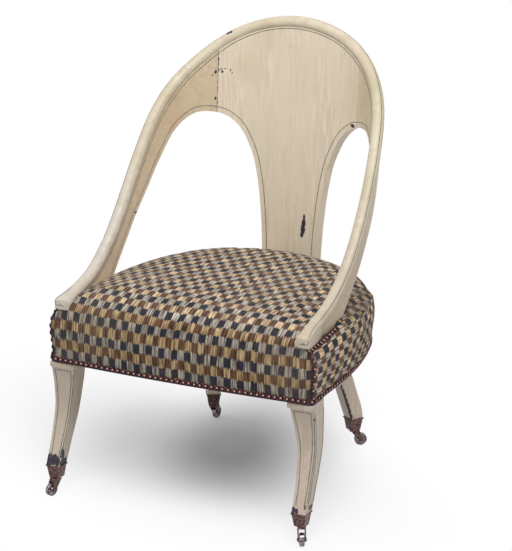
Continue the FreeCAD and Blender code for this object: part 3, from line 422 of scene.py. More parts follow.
# The front legs' tint is partly their greyer paint and partly painted shade, for little light under the seat.
leg_paint = cream_paint(
    "front legs", LEG_STREAKS, (222, 220, 228), rub=0.8,
    chips=[(-261, -27, 69, 17, 25, 13), (-251, -27, 71, 15, 21, 12), (-243, -24, 67, 9, 22, 12),
           (-238.5, -17, 81, 5, 24, 8), (-237.5, -15, 64, 5, 16, 14), (240, -29, 65, 9, 14, 7),
           (247, -29, 64, 7, 9, 7), (264.5, -8, 176, 5, 9, 5), (265, -18, 112, 4, 5, 5), (265, -8, 68, 9, 9, 9),
           (262, -24, 72, 3, 9, 4), (265, 4, 228, 5, 5, 5)])
PAINTS = [splat_paint, left_stile_paint, right_stile_paint, crest_paint, left_rim_paint, right_rim_paint,
          leg_paint, leg_paint, rear_leg_paint, rear_leg_paint]
for name, paint in zip(BACK_PIECES + RIM_PIECES + LEG_PIECES, PAINTS):
    wear_finish(nodes[name], paint)
print("painted", len(PAINTS), "wooden pieces")

# %% [markdown]
# The casters are old brass that has gone dark brown, nearly purple, with bright rubbed edges. Slow noise
# makes the clouds of the tarnish and fine noise its pits. The screws and the nail heads use it as well.

# %% Old brass
old_metal, given, gives = new_effect("old metal", {"Position": "Vector", "Dark": "Color", "Bright": "Color"},
                                     {"Colour": "Color", "Roughness": "Float", "Height": "Float"})
cloudy = between(noise(given["Position"], 260.0, 4.0, 0.65), 0.35, 0.7)
pits = between(noise(given["Position"], 900.0, 3.0, 0.7), 0.55, 0.75)
metal_colour = blend(times(pits, 0.6), blend(cloudy, given["Dark"], given["Bright"]), tone(24, 20, 22))
wire(gives, {"Colour": metal_colour, "Roughness": between(cloudy, 0.0, 1.0, 0.48, 0.26),
             "Height": minus(cloudy, pits)})


def metal_finish(name, dark, bright, height=0.00012, rubbed=tone(205, 180, 160), painted_glint=None, dullness=1.0):
    """A dark metal with a bright line on its rubbed edges, and on nail heads a painted glint on the top."""
    material, tree, shader, position = new_material(name)
    skin = use_effect(old_metal, Position=position, Dark=dark, Bright=bright)
    edges = use_effect(rubbed_edge, Position=position, Width=0.0008)["Mask"]
    colour = blend(times(edges, 0.7), skin["Colour"], rubbed)
    if painted_glint is not None:
        # Painted highlight: the top of each nail's dome is coloured bright, as the lamp's glint.
        laid = split(add_node("ShaderNodeUVMap", {}, tree, uv_map="UVMap").outputs[0])
        colour = blend(between(laid["Y"], 0.82, 0.95), colour, painted_glint)
    wire(shader, {"Base Color": colour, "Roughness": times(skin["Roughness"], dullness),
                  "Normal": bump(times(skin["Height"], height)), "Metallic": 0.85})
    return material


caster_brass = metal_finish("dark caster brass", tone(70, 52, 52), tone(128, 100, 94))
wheel_brass = metal_finish("dark wheel brass", tone(26, 21, 26), tone(176, 164, 170), height=0.00005, dullness=0.5)
for name in CASTER_PIECES:
    wear_finish(nodes[name], wheel_brass if name.endswith("wheel") else caster_brass)
wear_finish(nodes["frame_screws"], metal_finish("grey screw steel", tone(70, 70, 72), tone(130, 130, 132)))
print("finished", len(CASTER_PIECES), "pieces of the casters")

# %% [markdown]
# The seat rails, the corner blocks and the dowels are bare beech. Boards show long fibres along their
# length, and short dark flecks between them. Both are noise that is stretched along one axis.

# %% Bare wood
BARE_PIECES = ["front_rail", "side_rail_left", "side_rail_right", "back_rail", "corner_block_left",
               "corner_block_right", "board_dowels", "arm_dowels"]
bare_wood, tree, shader, position = new_material("bare beech")
fibres = noise(vector_maths("MULTIPLY", position, (14, 190, 190)), 1.0, 4.0, 0.65)
flecks = between(noise(vector_maths("MULTIPLY", position, (120, 900, 900)), 1.0), 0.62, 0.72)
wood = blend(between(fibres, 0.3, 0.7), tone(150, 112, 76), tone(190, 152, 110))
wire(shader, {"Base Color": blend(times(flecks, 0.5), wood, tone(104, 72, 46)),
              "Normal": bump(times(fibres, 0.0002)), "Roughness": 0.72})
for name in BARE_PIECES:
    wear_finish(nodes[name], bare_wood)
print("bare wood on", len(BARE_PIECES), "pieces")

# %% [markdown]
# An operator acts on all that is selected, so these helpers leave one object active and selected, join
# copies of solid pieces into a new object, and read or write all points of a mesh as one array. An
# array is much faster than a loop over the points.

# %% Modelling helpers


def deselect_all():
    """Nothing selected, in object mode."""
    bpy.ops.object.select_all(action="DESELECT")


def make_active(obj):
    """Only this object selected."""
    deselect_all()
    obj.select_set(True)
    bpy.context.view_layer.objects.active = obj


def edit_mode():
    """Edit the active object."""
    bpy.ops.object.mode_set(mode="EDIT")


def object_mode():
    """Leave edit mode."""
    bpy.ops.object.mode_set(mode="OBJECT")


def join_all(objects, name):
    """Several objects made into the first of them."""
    make_active(objects[0])
    for obj in objects[1:]:
        obj.select_set(True)
    if len(objects) > 1:
        bpy.ops.object.join()
    objects[0].name = name
    return objects[0]


def new_object(name, data):
    """An object in the scene for a mesh or a curve."""
    obj = bpy.data.objects.new(name, data)
    scene.collection.objects.link(obj)
    return obj


def copies_joined(names, label):
    """One new object from copies of solid pieces, with its double points merged."""
    joined = join_all([new_object(label, nodes[name].data.copy()) for name in names], label)
    edit_mode()
    bpy.ops.mesh.select_all(action="SELECT")
    bpy.ops.mesh.remove_doubles(threshold=0.00001)
    object_mode()
    return joined


def apply_modifier(obj, kind, **settings):
    """A modifier added with its settings and applied at once."""
    make_active(obj)
    modifier = obj.modifiers.new(kind.lower(), kind)
    for key, value in settings.items():
        setattr(modifier, key, value)
    bpy.ops.object.modifier_apply(modifier=modifier.name)


def values_of(items, name):
    """A vector of every point or face of a mesh, as one array of rows."""
    flat = np.empty(len(items) * 3)
    items.foreach_get(name, flat)
    return flat.reshape(-1, 3)


def points_of(obj):
    """The places of an object's points."""
    return values_of(obj.data.vertices, "co")


def move_points(obj, points):
    """Put every point of an object at its new place."""
    obj.data.vertices.foreach_set("co", points.ravel())
    obj.data.update()


# %% [markdown]
# The seat is stuffed over its frame, and one cloth covers the top and the front. The block of the
# upholstery comes from the solid model: its cover and pad are wrapped in one closed skin. Cloth only
# bends where it has points, and bends evenly where they are even, so the skin is built again from small
# equal faces.

# %% Seat block
cushion = copies_joined(["seat_cover", "side_band_left", "side_band_right", "stuffing_pad"], "seat_cushion")
edit_mode()
bpy.ops.mesh.select_all(action="SELECT")
bpy.ops.mesh.convex_hull()
object_mode()
apply_modifier(cushion, "REMESH", mode="VOXEL", voxel_size=0.006, use_smooth_shade=True)
print("seat block:", len(cushion.data.vertices), "points")

# %% [markdown]
# The back stands in the seat, so the cloth is held where it tucks in beside the boards. This function
# says how far a point lies outside the middle of the back's wall, from the same curve as the boards.

# %% Distance from the back's wall
ARM_STRAIGHT = 0.100
ARM_STRAIGHT_END = ARM_STRAIGHT - SETBACK
BACK_POWER = 2.835


def barrel_sizes(z):
    """Half the width and the depth of the back's middle line at a height."""
    return 0.2478 + 0.072 * (z - 0.5), 0.3856 + 0.055 * (z - 0.5)


def outside_wall(points):
    """How far each point lies outside the back's middle surface; inside is negative."""
    x, y = np.abs(points[:, 0]), np.maximum(points[:, 1] - ARM_STRAIGHT_END, 0)
    half_width, depth = barrel_sizes(points[:, 2])
    level = ((x / half_width) ** BACK_POWER + (y / depth) ** BACK_POWER) ** (1 / BACK_POWER)
    return np.hypot(x, y) * (1 - 1 / np.maximum(level, 1e-6))


print("the back is", round(2 * barrel_sizes(0.7)[0], 3), "m wide at a height of 0.7 m")

# %% [markdown]
# Now the block is made a little smaller and blown up as cloth: it is pinned along its lower edge and
# beside the boards, and pressure from inside pushes the rest out. Moved by hand, the points would give
# a lumpy seat, and the pressure gives a taut one. No point may move more than a few millimetres.

# %% Blow up the seat
LOWEST_COVER = 0.2575
HELD_EDGE = 0.008
MOST_SWELL = 0.0050
SWELL_ROOM = 0.003
CLOTH_FRAMES = 20
CLOTH_SETTINGS = {"quality": 4, "use_pressure": True, "uniform_pressure_force": 4, "vertex_group_mass": "held",
                  "tension_stiffness": 12, "bending_stiffness": 1.5}
start = points_of(cushion)
loose = np.clip((start[:, 2] - LOWEST_COVER - HELD_EDGE) / 0.020, 0, 1)[:, None]
start = start - values_of(cushion.data.vertices, "normal") * loose * SWELL_ROOM
cushion.data.vertices.foreach_set("co", start.ravel())
held = (start[:, 2] < LOWEST_COVER + HELD_EDGE) | ((np.abs(outside_wall(start)) < 0.010) & (start[:, 2] > 0.34))
cushion.vertex_groups.new(name="held").add([int(i) for i in np.nonzero(held)[0]], 1.0, "REPLACE")
make_active(cushion)
cloth = cushion.modifiers.new("cloth", "CLOTH")
for key, value in CLOTH_SETTINGS.items():
    setattr(cloth.settings, key, value)
cloth.settings.effector_weights.gravity = 0
for frame_number in range(1, CLOTH_FRAMES + 1):
    scene.frame_set(frame_number)
bpy.ops.object.modifier_apply(modifier=cloth.name)
scene.frame_set(1)
moved = points_of(cushion) - start
length = np.linalg.norm(moved, axis=1)
print("cloth moved up to", round(float(length.max()) * 1000, 1), "mm")
moved *= (MOST_SWELL * np.tanh(length / MOST_SWELL) / np.maximum(length, 1e-9))[:, None]
move_points(cushion, start + moved)
apply_modifier(cushion, "SUBSURF", levels=1, render_levels=1)
cushion.vertex_groups.clear()
print("seat:", len(cushion.data.polygons), "faces")

# %% [markdown]
# Under each arm the cover ends on a rounded ledge, so that the board shows above it. Points above the
# ledge are drawn down to it without crossing each other. Behind, the sides are stuffed a little fuller.

# %% Ledge under the arms
UNDER_ARM = [(-0.004, 0.3545), (0.0136, 0.3537), (0.0446, 0.3538), (0.0792, 0.3558), (0.1054, 0.3587),
             (0.132, 0.3609)]
LEDGE_LINE = ([(-0.016, 0.376), (-0.002, 0.367)] + [(back, height + 0.0040) for back, height in UNDER_ARM[1:]]
              + [(0.150, 0.385), (0.170, 0.44)])
LEDGE_START = 0.0100
LEDGE_WIDTH = 0.018
LEDGE_FALL = 0.0135
LEDGE_SOFT = 0.012
REAR_FULLNESS = 0.0070
LEFT_CORNER_RISE = 0.009
points = points_of(cushion)
outside = outside_wall(points)
behind_front = points[:, 1] + SETBACK
ledge = np.interp(behind_front, *zip(*LEDGE_LINE))
ledge += LEFT_CORNER_RISE * (points[:, 0] < 0) * np.clip((0.030 - behind_front) / 0.030, 0, 1)
ledge = ledge - LEDGE_FALL * (np.clip(outside - LEDGE_START, 0, None) / LEDGE_WIDTH) ** 2
above = (outside > LEDGE_START - 0.006) & (points[:, 2] > ledge - LEDGE_SOFT) & (np.abs(points[:, 0]) > 0.2)
drawn = ledge - LEDGE_SOFT * np.exp(-(points[:, 2] - ledge + LEDGE_SOFT) / LEDGE_SOFT)
points[:, 2] = np.where(above, np.minimum(points[:, 2], drawn), points[:, 2])
plan_out = np.column_stack([points[:, 0], np.clip(points[:, 1] - ARM_STRAIGHT_END, 0, None)])
plan_out /= np.maximum(np.linalg.norm(plan_out, axis=1), 1e-6)[:, None]
fuller = REAR_FULLNESS * np.clip((outside - 0.010) / 0.006, 0, 1) * np.clip((behind_front - 0.12) / 0.14, 0, 1)
fuller *= np.sin(np.pi * np.clip((points[:, 2] - LOWEST_COVER) / 0.150, 0, 1)) ** 0.6
points[:, :2] += plan_out * fuller[:, None]
move_points(cushion, points)
print(int(above.sum()), "points drawn down under the arms")

# %% [markdown]
# Where a board or the rim stands in the seat, the cloth stops a little way inside the wood, as it
# does when it is tucked down beside a board. The faces that lie deep in the wood are deleted, since
# nobody sees them. A ray that leaves a closed piece through its skin shows that it started inside.

# %% Tuck the cloth in beside the wood
TUCK = 0.0030
LOOK = Vector((0.23, 0.11, 0.967)).normalized()


def tree_of(objects):
    """A search tree over the faces of some pieces."""
    corners, faces = [], []
    for obj in objects:
        first = len(corners)
        corners += [tuple(v.co) for v in obj.data.vertices]
        faces += [tuple(first + i for i in face.vertices) for face in obj.data.polygons]
    return BVHTree.FromPolygons(corners, faces)


def depth_in(trees, point):
    """How deep a point lies inside the solid pieces, or minus one outside them all."""
    deepest = -1.0
    for tree in trees:
        place, normal, face, distance = tree.ray_cast(point, LOOK)
        if place is not None and normal.dot(LOOK) > 0:
            deepest = max(deepest, tree.find_nearest(point)[3])
    return deepest


def select_faces(obj, chosen):
    """Edit mode, face selection, with only the chosen faces selected."""
    make_active(obj)
    edit_mode()
    bpy.ops.mesh.select_mode(type="FACE")
    bpy.ops.mesh.select_all(action="DESELECT")
    object_mode()
    obj.data.polygons.foreach_set("select", chosen)
    edit_mode()


wood_trees = [tree_of([nodes[name]]) for name in BACK_PIECES + RIM_PIECES]
middles = values_of(cushion.data.polygons, "center")
buried = np.zeros(len(middles), dtype=bool)
for index in np.nonzero((np.abs(outside_wall(middles)) < 0.016) & (middles[:, 2] > 0.325))[0]:
    buried[index] = depth_in(wood_trees, Vector(middles[index])) > TUCK
underneath = middles[:, 2] < LOWEST_COVER + 0.0005
select_faces(cushion, buried | underneath)
bpy.ops.mesh.delete(type="FACE")
object_mode()
print("deleted", int(buried.sum()), "faces inside the wood and", int(underneath.sum()), "underneath")

# %% [markdown]
# The sides of the seat are covered by their own panels, with the cloth turned by a quarter. They reach
# from the front corners round to the back, and up to a line just under the arms.

# %% Side panels
PANEL_FRONT = 0.002 - SETBACK
PANEL_TOP = 0.3515
middles = values_of(cushion.data.polygons, "center")
beside_arm = middles[:, 1] < 0.150 - SETBACK
select_faces(cushion, (outside_wall(middles) > 0.002) & (middles[:, 1] > PANEL_FRONT)
             & (beside_arm | (middles[:, 2] < PANEL_TOP)))
bpy.ops.mesh.separate(type="SELECTED")
object_mode()
panels = [obj for obj in bpy.context.selected_objects if obj is not cushion][0]
panels.name = "side_panels"
print("seat top and front:", len(cushion.data.polygons), "faces; sides:", len(panels.data.polygons))

# %% [markdown]
# The cloth is laid out in real metres. On the front and the top it is measured along the section: up
# the front wall, over the shoulder and back across the seat. Unwrapped by Blender, the checks would
# change their size over the shoulder, and measured they don't.

# %% Measure along the section
FRONT_RADIUS = 4.1666
FRONT_CENTRE = FRONT_RADIUS - 0.0135 - SETBACK
SECTION_LINE = [(0.002, 0.2675), (-0.002, 0.3067), (0.0005, 0.346), (0.003, 0.3535), (0.007, 0.361),
                (0.014, 0.368), (0.026, 0.3765), (0.044, 0.385), (0.070, 0.391), (0.100, 0.3945),
                (0.520, 0.3945)]


def along_section(points):
    """The length along the section line to the place nearest each point."""
    inset = points[:, 1] - FRONT_CENTRE + np.sqrt(FRONT_RADIUS ** 2 - points[:, 0] ** 2)
    best, length, done = np.full(len(points), 1e9), np.zeros(len(points)), 0.0
    for (a0, a1), (b0, b1) in zip(SECTION_LINE[:-1], SECTION_LINE[1:]):
        run, rise = b0 - a0, b1 - a1
        size = math.hypot(run, rise)
        share = np.clip(((inset - a0) * run + (points[:, 2] - a1) * rise) / size ** 2, 0, 1)
        gap = np.hypot(inset - a0 - share * run, points[:, 2] - a1 - share * rise)
        length = np.where(gap < best, done + share * size, length)
        best = np.minimum(gap, best)
        done += size
    return length


print("the cloth of the seat is", round(float(along_section(np.array([[0.0, 0.3, 0.3945]]))[0]), 3), "m long")

# %% [markdown]
# The cloth of the sides runs round the outline of the seat, which is a straight side, a wide arc, a
# tighter arc and the straight back. The left side mirrors the right, so one half is enough. The nails
# of the hem follow the same outline later.

# %% Measure round the outline
SIDE_X, SIDE_LENGTH = 0.266, 0.135
WIDE_RADIUS, TIGHT_RADIUS = 0.676, 0.2355
TIGHT_X = 0.01315
WIDE_MIDDLE = Vector((SIDE_X - WIDE_RADIUS, 0.130 - SETBACK))
TIGHT_MIDDLE = Vector((TIGHT_X, 0.2525 - SETBACK))
TURN = math.atan2(0.1225, TIGHT_X - SIDE_X + WIDE_RADIUS)
OUTLINE_STEP = 0.002


def outline_point(length, inset=0.0):
    """A point of the seat's outline and its outward direction, measured from the right front corner."""
    wide_end = SIDE_LENGTH + WIDE_RADIUS * TURN
    tight_end = wide_end + TIGHT_RADIUS * (math.pi / 2 - TURN)
    if length <= SIDE_LENGTH:
        return Vector((SIDE_X - inset, -0.005 - SETBACK + length)), Vector((1, 0))
    if length > tight_end:
        return TIGHT_MIDDLE + Vector((tight_end - length, TIGHT_RADIUS - inset)), Vector((0, 1))
    middle, radius, angle = WIDE_MIDDLE, WIDE_RADIUS, (length - SIDE_LENGTH) / WIDE_RADIUS
    if length > wide_end:
        middle, radius, angle = TIGHT_MIDDLE, TIGHT_RADIUS, TURN + (length - wide_end) / TIGHT_RADIUS
    out = Vector((math.cos(angle), math.sin(angle)))
    return middle + out * (radius - inset), out


OUTLINE = np.array([tuple(outline_point(step * OUTLINE_STEP)[0]) for step in range(431)])


def along_outline(points):
    """The length round the outline to the place nearest each point, the same on both sides."""
    plan = np.column_stack([np.abs(points[:, 0]), points[:, 1]])
    length = np.empty(len(plan))
    for first in range(0, len(plan), 4000):
        block = plan[first:first + 4000]
        near = np.linalg.norm(block[:, None, :] - OUTLINE[None, :, :], axis=2).argmin(axis=1)
        step = OUTLINE[np.clip(near + 1, 0, len(OUTLINE) - 1)] - OUTLINE[near]
        extra = ((block - OUTLINE[near]) * step).sum(axis=1) / np.maximum((step ** 2).sum(axis=1), 1e-12)
        length[first:first + 4000] = (near + np.clip(extra, -0.5, 0.5)) * OUTLINE_STEP
    return length


print("the seat is", round(2 * float(OUTLINE[:, 0].max()), 3), "m wide")

# %% [markdown]
# Each point of the mesh gets two lengths as its place on the cloth. On the seat the first runs sideways
# and the second up and back. On the side panels the first runs up and the second round the chair,
# because the upholsterer turned the cloth there by a quarter.

# %% Lay the cloth out


def set_cloth_map(obj, across, along):
    """A UV map in metres from one pair of lengths for each point."""
    layer = obj.data.uv_layers.new(name="cloth")
    corner_points = np.empty(len(obj.data.loops), dtype=np.int64)
    obj.data.loops.foreach_get("vertex_index", corner_points)
    layer.data.foreach_set("uv", np.column_stack([across[corner_points], along[corner_points]]).ravel())
    print(obj.name, "has", round(float(along.max()), 3), "m of cloth along it")


points = points_of(cushion)
set_cloth_map(cushion, SIDE_X - points[:, 0], along_section(points))
points = points_of(panels)
set_cloth_map(panels, points[:, 2] - 0.257, along_outline(points))

# %% [markdown]
# Seen close, the cells have saw-toothed edges, because each warp thread stops at its own height, and
# fine upright stripes. The effect works out the colour of each cell and thread from the lengths on the
# cloth, so it is as sharp close up as from afar.

# %% Woven check effect
ROW = 0.0188
COLUMN = 0.0130
THREAD = 0.00125
PICK = 0.0011
woven_check, given, gives = new_effect(
    "woven check", {name: "Float" for name in ("Across", "Along", "Row", "Column", "Light", "Contrast")},
    {"Colour": "Color", "Height": "Float"})
across, along = given["Across"], given["Along"]


def stripes(across_scale, along_scale, detail=1.0):
    """Noise on the laid-out cloth, stretched one way."""
    place = add_node("ShaderNodeCombineXYZ", {0: times(across, across_scale), 1: times(along, along_scale)})
    return noise(place.outputs[0], 1.0, detail)


def centred(value, width):
    """Noise moved to lie about zero, at a width."""
    return times(minus(value, 0.5), width)


def alternating(place, softness):
    """0 on even bands and 1 on odd ones, with soft edges."""
    return between(maths("SINE", times(place, math.pi)), softness, -softness)


thread = add_node("ShaderNodeCombineXYZ", {0: maths("FLOOR", divide(across, THREAD))}).outputs[0]
thread_value = add_node("ShaderNodeTexWhiteNoise", {"Vector": thread}, noise_dimensions="3D").outputs["Value"]
row_place = divide(plus(plus(along, centred(thread_value, 0.0046)), centred(stripes(24, 24), 0.006)), given["Row"])
column_place = divide(plus(across, centred(stripes(150, 30), 0.0030)), given["Column"])
brown_row = alternating(row_place, 0.10)
odd_column = alternating(column_place, 0.22)
fine = between(stripes(480, 26, 2.0), 0.36, 0.64)
patches = between(stripes(210, 60, 2.0), 0.35, 0.68)
navy = blend(fine, tone(6, 9, 24), tone(42, 48, 68))
grey = blend(times(patches, 0.45), blend(fine, tone(74, 70, 68), tone(210, 196, 176)), tone(120, 114, 108))
tan = blend(times(patches, 0.35), blend(fine, tone(120, 90, 54), tone(218, 190, 142)), tone(128, 92, 56))
brown = blend(fine, tone(38, 20, 16), tone(122, 82, 52))
pattern = blend(brown_row, blend(odd_column, navy, grey), blend(odd_column, tan, brown))
# Painted shade between threads: weave and fuzz scale each colour; Light scales it all as painted light.
weave = times(maths("SINE", times(along, 2 * math.pi / PICK)), maths("SINE", times(across, 2 * math.pi / THREAD)))
fuzz = stripes(900, 900, 3.0)
shade = between(plus(times(weave, 0.25), fuzz), 0.2, 0.9, 0.66, 1.10)
deep = add_node("ShaderNodeGamma", {"Color": pattern, "Gamma": given["Contrast"]}).outputs[0]
bright = add_node("ShaderNodeVectorMath", {0: deep, "Scale": times(shade, given["Light"])}, operation="SCALE")
wire(gives, {"Colour": blend(1.0, bright.outputs[0], tone(238, 226, 204), "DARKEN"),
             "Height": plus(times(weave, 0.5), plus(fuzz, fine))})
print("woven check has", len(woven_check.nodes), "nodes")

# %% [markdown]
# The cloth has worn through to a dark ground where it is rubbed most: at the left front corner and
# beside the left arm. Loose pale threads show there as broken flecks. The top is painted lighter and greyer
# than the front wall, and the side panels lighter still: painted light, for the light and sheen on them.
# A solidify modifier gives the cloth its thickness, inwards.

# %% Check fabric


def check_fabric(name, along_first, painted_light_levels, contrasts, richness, worn):
    """Woven check on a cloth map: painted light, contrast, richness from side to top, and worn places (middle,
    reach).
    """
    material, tree, shader, position = new_material(name)
    laid = split(add_node("ShaderNodeUVMap", {}, tree, uv_map="cloth").outputs[0])

    def to_top(values):
        """A value that changes from the sides to the top of the seat."""
        return between(split(position)["Z"], 0.356, 0.384, *values)

    cloth = use_effect(woven_check, Across=laid["X"], Along=plus(laid["Y"], along_first), Row=ROW, Column=COLUMN,
                       Light=to_top(painted_light_levels), Contrast=to_top(contrasts))
    rich = add_node("ShaderNodeHueSaturation", {"Color": cloth["Colour"], "Saturation": to_top(richness)})
    colour = blend(between(noise(position, 7.0, 2.0), 0.35, 0.7, 0.02, 0.12), rich.outputs[0], tone(160, 144, 124))
    for middle, reach in worn:
        offset = vector_maths("DIVIDE", vector_maths("SUBTRACT", position, place_mm(*middle)), reach)
        near = between(vector_maths("LENGTH", offset, output="Value"), 1.0, 0.4)
        holes = between(noise(position, 190.0, 4.0, 0.8), 0.50, 0.58)
        flecks = between(noise(position, 420.0, 3.0, 0.8), 0.6, 0.66)
        colour = blend(times(near, holes), colour, tone(34, 30, 40))
        colour = blend(times(near, flecks), colour, tone(176, 160, 138))
    wire(shader, {"Base Color": colour, "Normal": bump(times(cloth["Height"], 0.00035)), "Roughness": 0.92,
                  "Specular IOR Level": 0.2, "Sheen Weight": 0.04, "Sheen Roughness": 0.6})
    return material


# Painted light: the top is lifted up to 1.68 and the side panels 2.10 times the front wall's colour.
top_fabric = check_fabric("check of the seat", 0.0, (1.0, 1.68), (1.0, 1.12), (0.98, 0.76), [
    ((-262, -4, 342), (0.030, 0.030, 0.020)), ((-250, -2, 306), (0.030, 0.030, 0.010)),
    ((-222, 60, 384), (0.012, 0.060, 0.020))])
side_fabric = check_fabric("check of the sides", ROW, (2.10, 2.10), (1.22, 1.22), (0.80, 0.80),
                           [((-266, 10, 350), (0.02, 0.03, 0.03))])
for piece, fabric in ((cushion, top_fabric), (panels, side_fabric)):
    wear_finish(piece, fabric)
    make_active(piece)
    bpy.ops.object.shade_smooth()
    apply_modifier(piece, "SOLIDIFY", thickness=0.0018, offset=-1.0)
    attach(piece, "chair")
    print(piece.name, "is covered with", len(piece.data.polygons), "faces")
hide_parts("seat_cover", "stuffing_pad", "hessian", "webbing_lengthwise", "webbing_crosswise")
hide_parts("side_band_left", "side_band_right")

# %% [markdown]
# Domed brass nails hold the cloth's edge over a dark red braid, all round the seat, up the front
# corners and along under the arms. The nails of the hem follow the seat's outline at an even spacing.

# %% Places of the nails
NAIL_SPACING = 0.0112
NAIL_HEIGHT = 0.265
HEM_CORNER = Vector((0.258, 0.0033 - SETBACK))
HEM_CORNER_RADIUS = 0.008


def mirror(vector):
    """The same place or direction on the other side of the chair."""
    return Vector((-vector[0], *vector[1:]))


def hem_line(inset):
    """The seat's outline from the back's middle round the right side and the front, with directions."""
    line = [outline_point(step * 0.001, inset) for step in range(860, 8, -1)]
    line = [pair for pair in line if pair[0].x > 0]
    for degrees in range(0, -88, -8):
        out = Vector((math.cos(math.radians(degrees)), math.sin(math.radians(degrees))))
        line.append((HEM_CORNER + out * (HEM_CORNER_RADIUS - inset), out))
    for step in range(257, 0, -1):
        out = Vector((step * 0.001 / FRONT_RADIUS, -1)).normalized()
        line.append((Vector((0, FRONT_CENTRE)) + out * (FRONT_RADIUS - inset), out))
    return line + [(mirror(place), mirror(out)) for place, out in reversed(line)]


def hem_places(inset, height, spacing):
    """Places and directions along the hem at a height and an even spacing."""
    line = hem_line(inset)
    chosen, run = [line[0]], 0.0
    for before, after in zip(line[:-1], line[1:]):
        run += (after[0] - before[0]).length
        if run >= spacing:
            chosen.append(after)
            run -= spacing
    return [((p.x, p.y, height), (o.x, o.y, 0)) for p, o in chosen]


hem_nails = hem_places(0.0008, NAIL_HEIGHT, NAIL_SPACING)
print(len(hem_nails), "nails round the hem")

# %% [markdown]
# The nails at the corners and under the arms sit on the stuffed cloth, so their places are found by
# looking at it from outside: a ray meets the cloth, and the nail stands there along the ray. The dark
# braid under them follows the same rows.

# %% Nails on the stuffed cloth
CORNER_ROW = (0.2700, 0.3520)
ARM_ROW = (0.0020, 0.1280)
cloth_tree = tree_of([cushion, panels])


def meet(aim, out):
    """The place where a ray towards an aim meets the cloth from outside, and the way out."""
    out = Vector(out).normalized()
    return cloth_tree.ray_cast(Vector(aim) + out * 0.05, -out)[0], out


def corner_place(side, height):
    """A place on the cloth at a front corner, at a height."""
    return meet((0.2640 * side, 0.001 - SETBACK, height), (0.93 * side, -0.37, 0))


def arm_place(side, back):
    """A place on the cloth's ledge under an arm, at a distance behind the front line."""
    height = float(np.interp(back, *zip(*UNDER_ARM)))
    return meet((0.2556 * side, back - SETBACK, height + 0.0014), (0.66 * side, 0, 0.75))


def along_row(place_at, side, row, spacing):
    """Places at an even spacing along a row on the cloth."""
    found = [place_at(side, row[0] + spacing * step) for step in range(int((row[1] - row[0]) / spacing) + 1)]
    return [(place, out) for place, out in found if place is not None]


cloth_nails = []
for side in (1, -1):
    cloth_nails += along_row(corner_place, side, CORNER_ROW, 0.0138) + along_row(arm_place, side, ARM_ROW, 0.0126)
print(len(cloth_nails), "nails on the stuffed cloth")

# %% [markdown]
# One nail head is half a ball, flattened, and the rest are its copies. Each is turned to face outwards,
# with a slightly different tilt, because the nails were driven by hand.

# %% Nail heads
NAIL_RADIUS = 0.0044


def copies_at(model, places, name, tilt):
    """Copies of a small piece, each facing its own way, joined into one object."""
    copies = []
    for place, out in places:
        lean = Vector([random.uniform(-tilt, tilt) for axis in range(3)])
        mesh = model.data.copy()
        mesh.transform((Vector(out) + lean).to_track_quat("Z", "Y").to_matrix().to_4x4())
        mesh.transform(Matrix.Translation(Vector(place)))
        copies.append(new_object(name, mesh))
    bpy.data.objects.remove(model)
    return join_all(copies, name)


random.seed(4)
deselect_all()
bpy.ops.mesh.primitive_uv_sphere_add(segments=10, ring_count=8, radius=NAIL_RADIUS, location=(0, 0, 0))
nail_model = bpy.context.object
edit_mode()
bpy.ops.mesh.bisect(plane_co=(0, 0, 0), plane_no=(0, 0, 1), clear_inner=True, use_fill=True)
bpy.ops.mesh.select_all(action="SELECT")
bpy.ops.transform.resize(value=(1, 1, 0.52))
bpy.ops.mesh.normals_make_consistent(inside=False)
object_mode()
bpy.ops.object.shade_smooth()
nails = copies_at(nail_model, hem_nails + cloth_nails, "upholstery_nails", 0.10)
# The nail heads' bright tops are a painted glint.
wear_finish(nails, metal_finish("copper brown nail heads", tone(40, 20, 24), tone(92, 48, 46), height=0.00004,
                                rubbed=tone(250, 214, 190), painted_glint=tone(222, 178, 164)))
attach(nails, "chair")
print("nail heads:", len(nails.data.polygons), "faces")

# %% [markdown]
# The braid under the nails is a narrow twisted trim. Its backing strip comes from the solid model, and
# small strands lie on it: one row round the hem, and four rows side by side on the stuffed cloth. A
# strand is a ball with few faces, narrowed and flattened, because there are hundreds of them.

# %% Braid
STRAND_ROWS = (-0.0042, -0.0014, 0.0014, 0.0042)
braid = copies_joined(["nail_band"], "braid")
apply_modifier(braid, "BEVEL", width=0.0003, segments=2, limit_method="ANGLE", angle_limit=0.6)
bpy.ops.mesh.primitive_ico_sphere_add(subdivisions=1, radius=0.0026, location=(0, 0, 0))
strand_model = bpy.context.object
edit_mode()
bpy.ops.transform.resize(value=(1.0, 0.42, 0.40))
object_mode()
bpy.ops.object.shade_smooth()
strand_places = hem_places(0.0006, 0.2590, 0.0034)
for side in (1, -1):
    for place_at, row in ((corner_place, CORNER_ROW), (arm_place, ARM_ROW)):
        middle_row = along_row(place_at, side, row, 0.0030)
        for (place, out), (ahead, other) in zip(middle_row[:-1], middle_row[1:]):
            beside = (ahead - place).normalized().cross(out).normalized()
            strand_places += [(place + beside * offset, out) for offset in STRAND_ROWS]
braid = join_all([braid, copies_at(strand_model, strand_places, "braid_strands", 0.25)], "braid")
braid_finish, tree, shader, position = new_material("dark red braid")
fuzz = noise(position, 700.0, 3.0)
red = blend(fuzz, tone(34, 20, 26), tone(88, 52, 54))
red = blend(between(noise(position, 60.0, 2.0), 0.45, 0.65, 0.0, 0.7), red, tone(52, 44, 62))
wire(shader, {"Base Color": red, "Normal": bump(times(fuzz, 0.0003)), "Roughness": 0.8})
wear_finish(braid, braid_finish)
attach(braid, "chair")
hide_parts("nail_band")
print("braid:", len(braid.data.polygons), "faces")

# %% [markdown]
# The arms end in a squared block that flares a little outwards and dies away into the round rim behind.
# It is a cube whose rear face is made smaller and raised to follow the arm, with its edges eased.

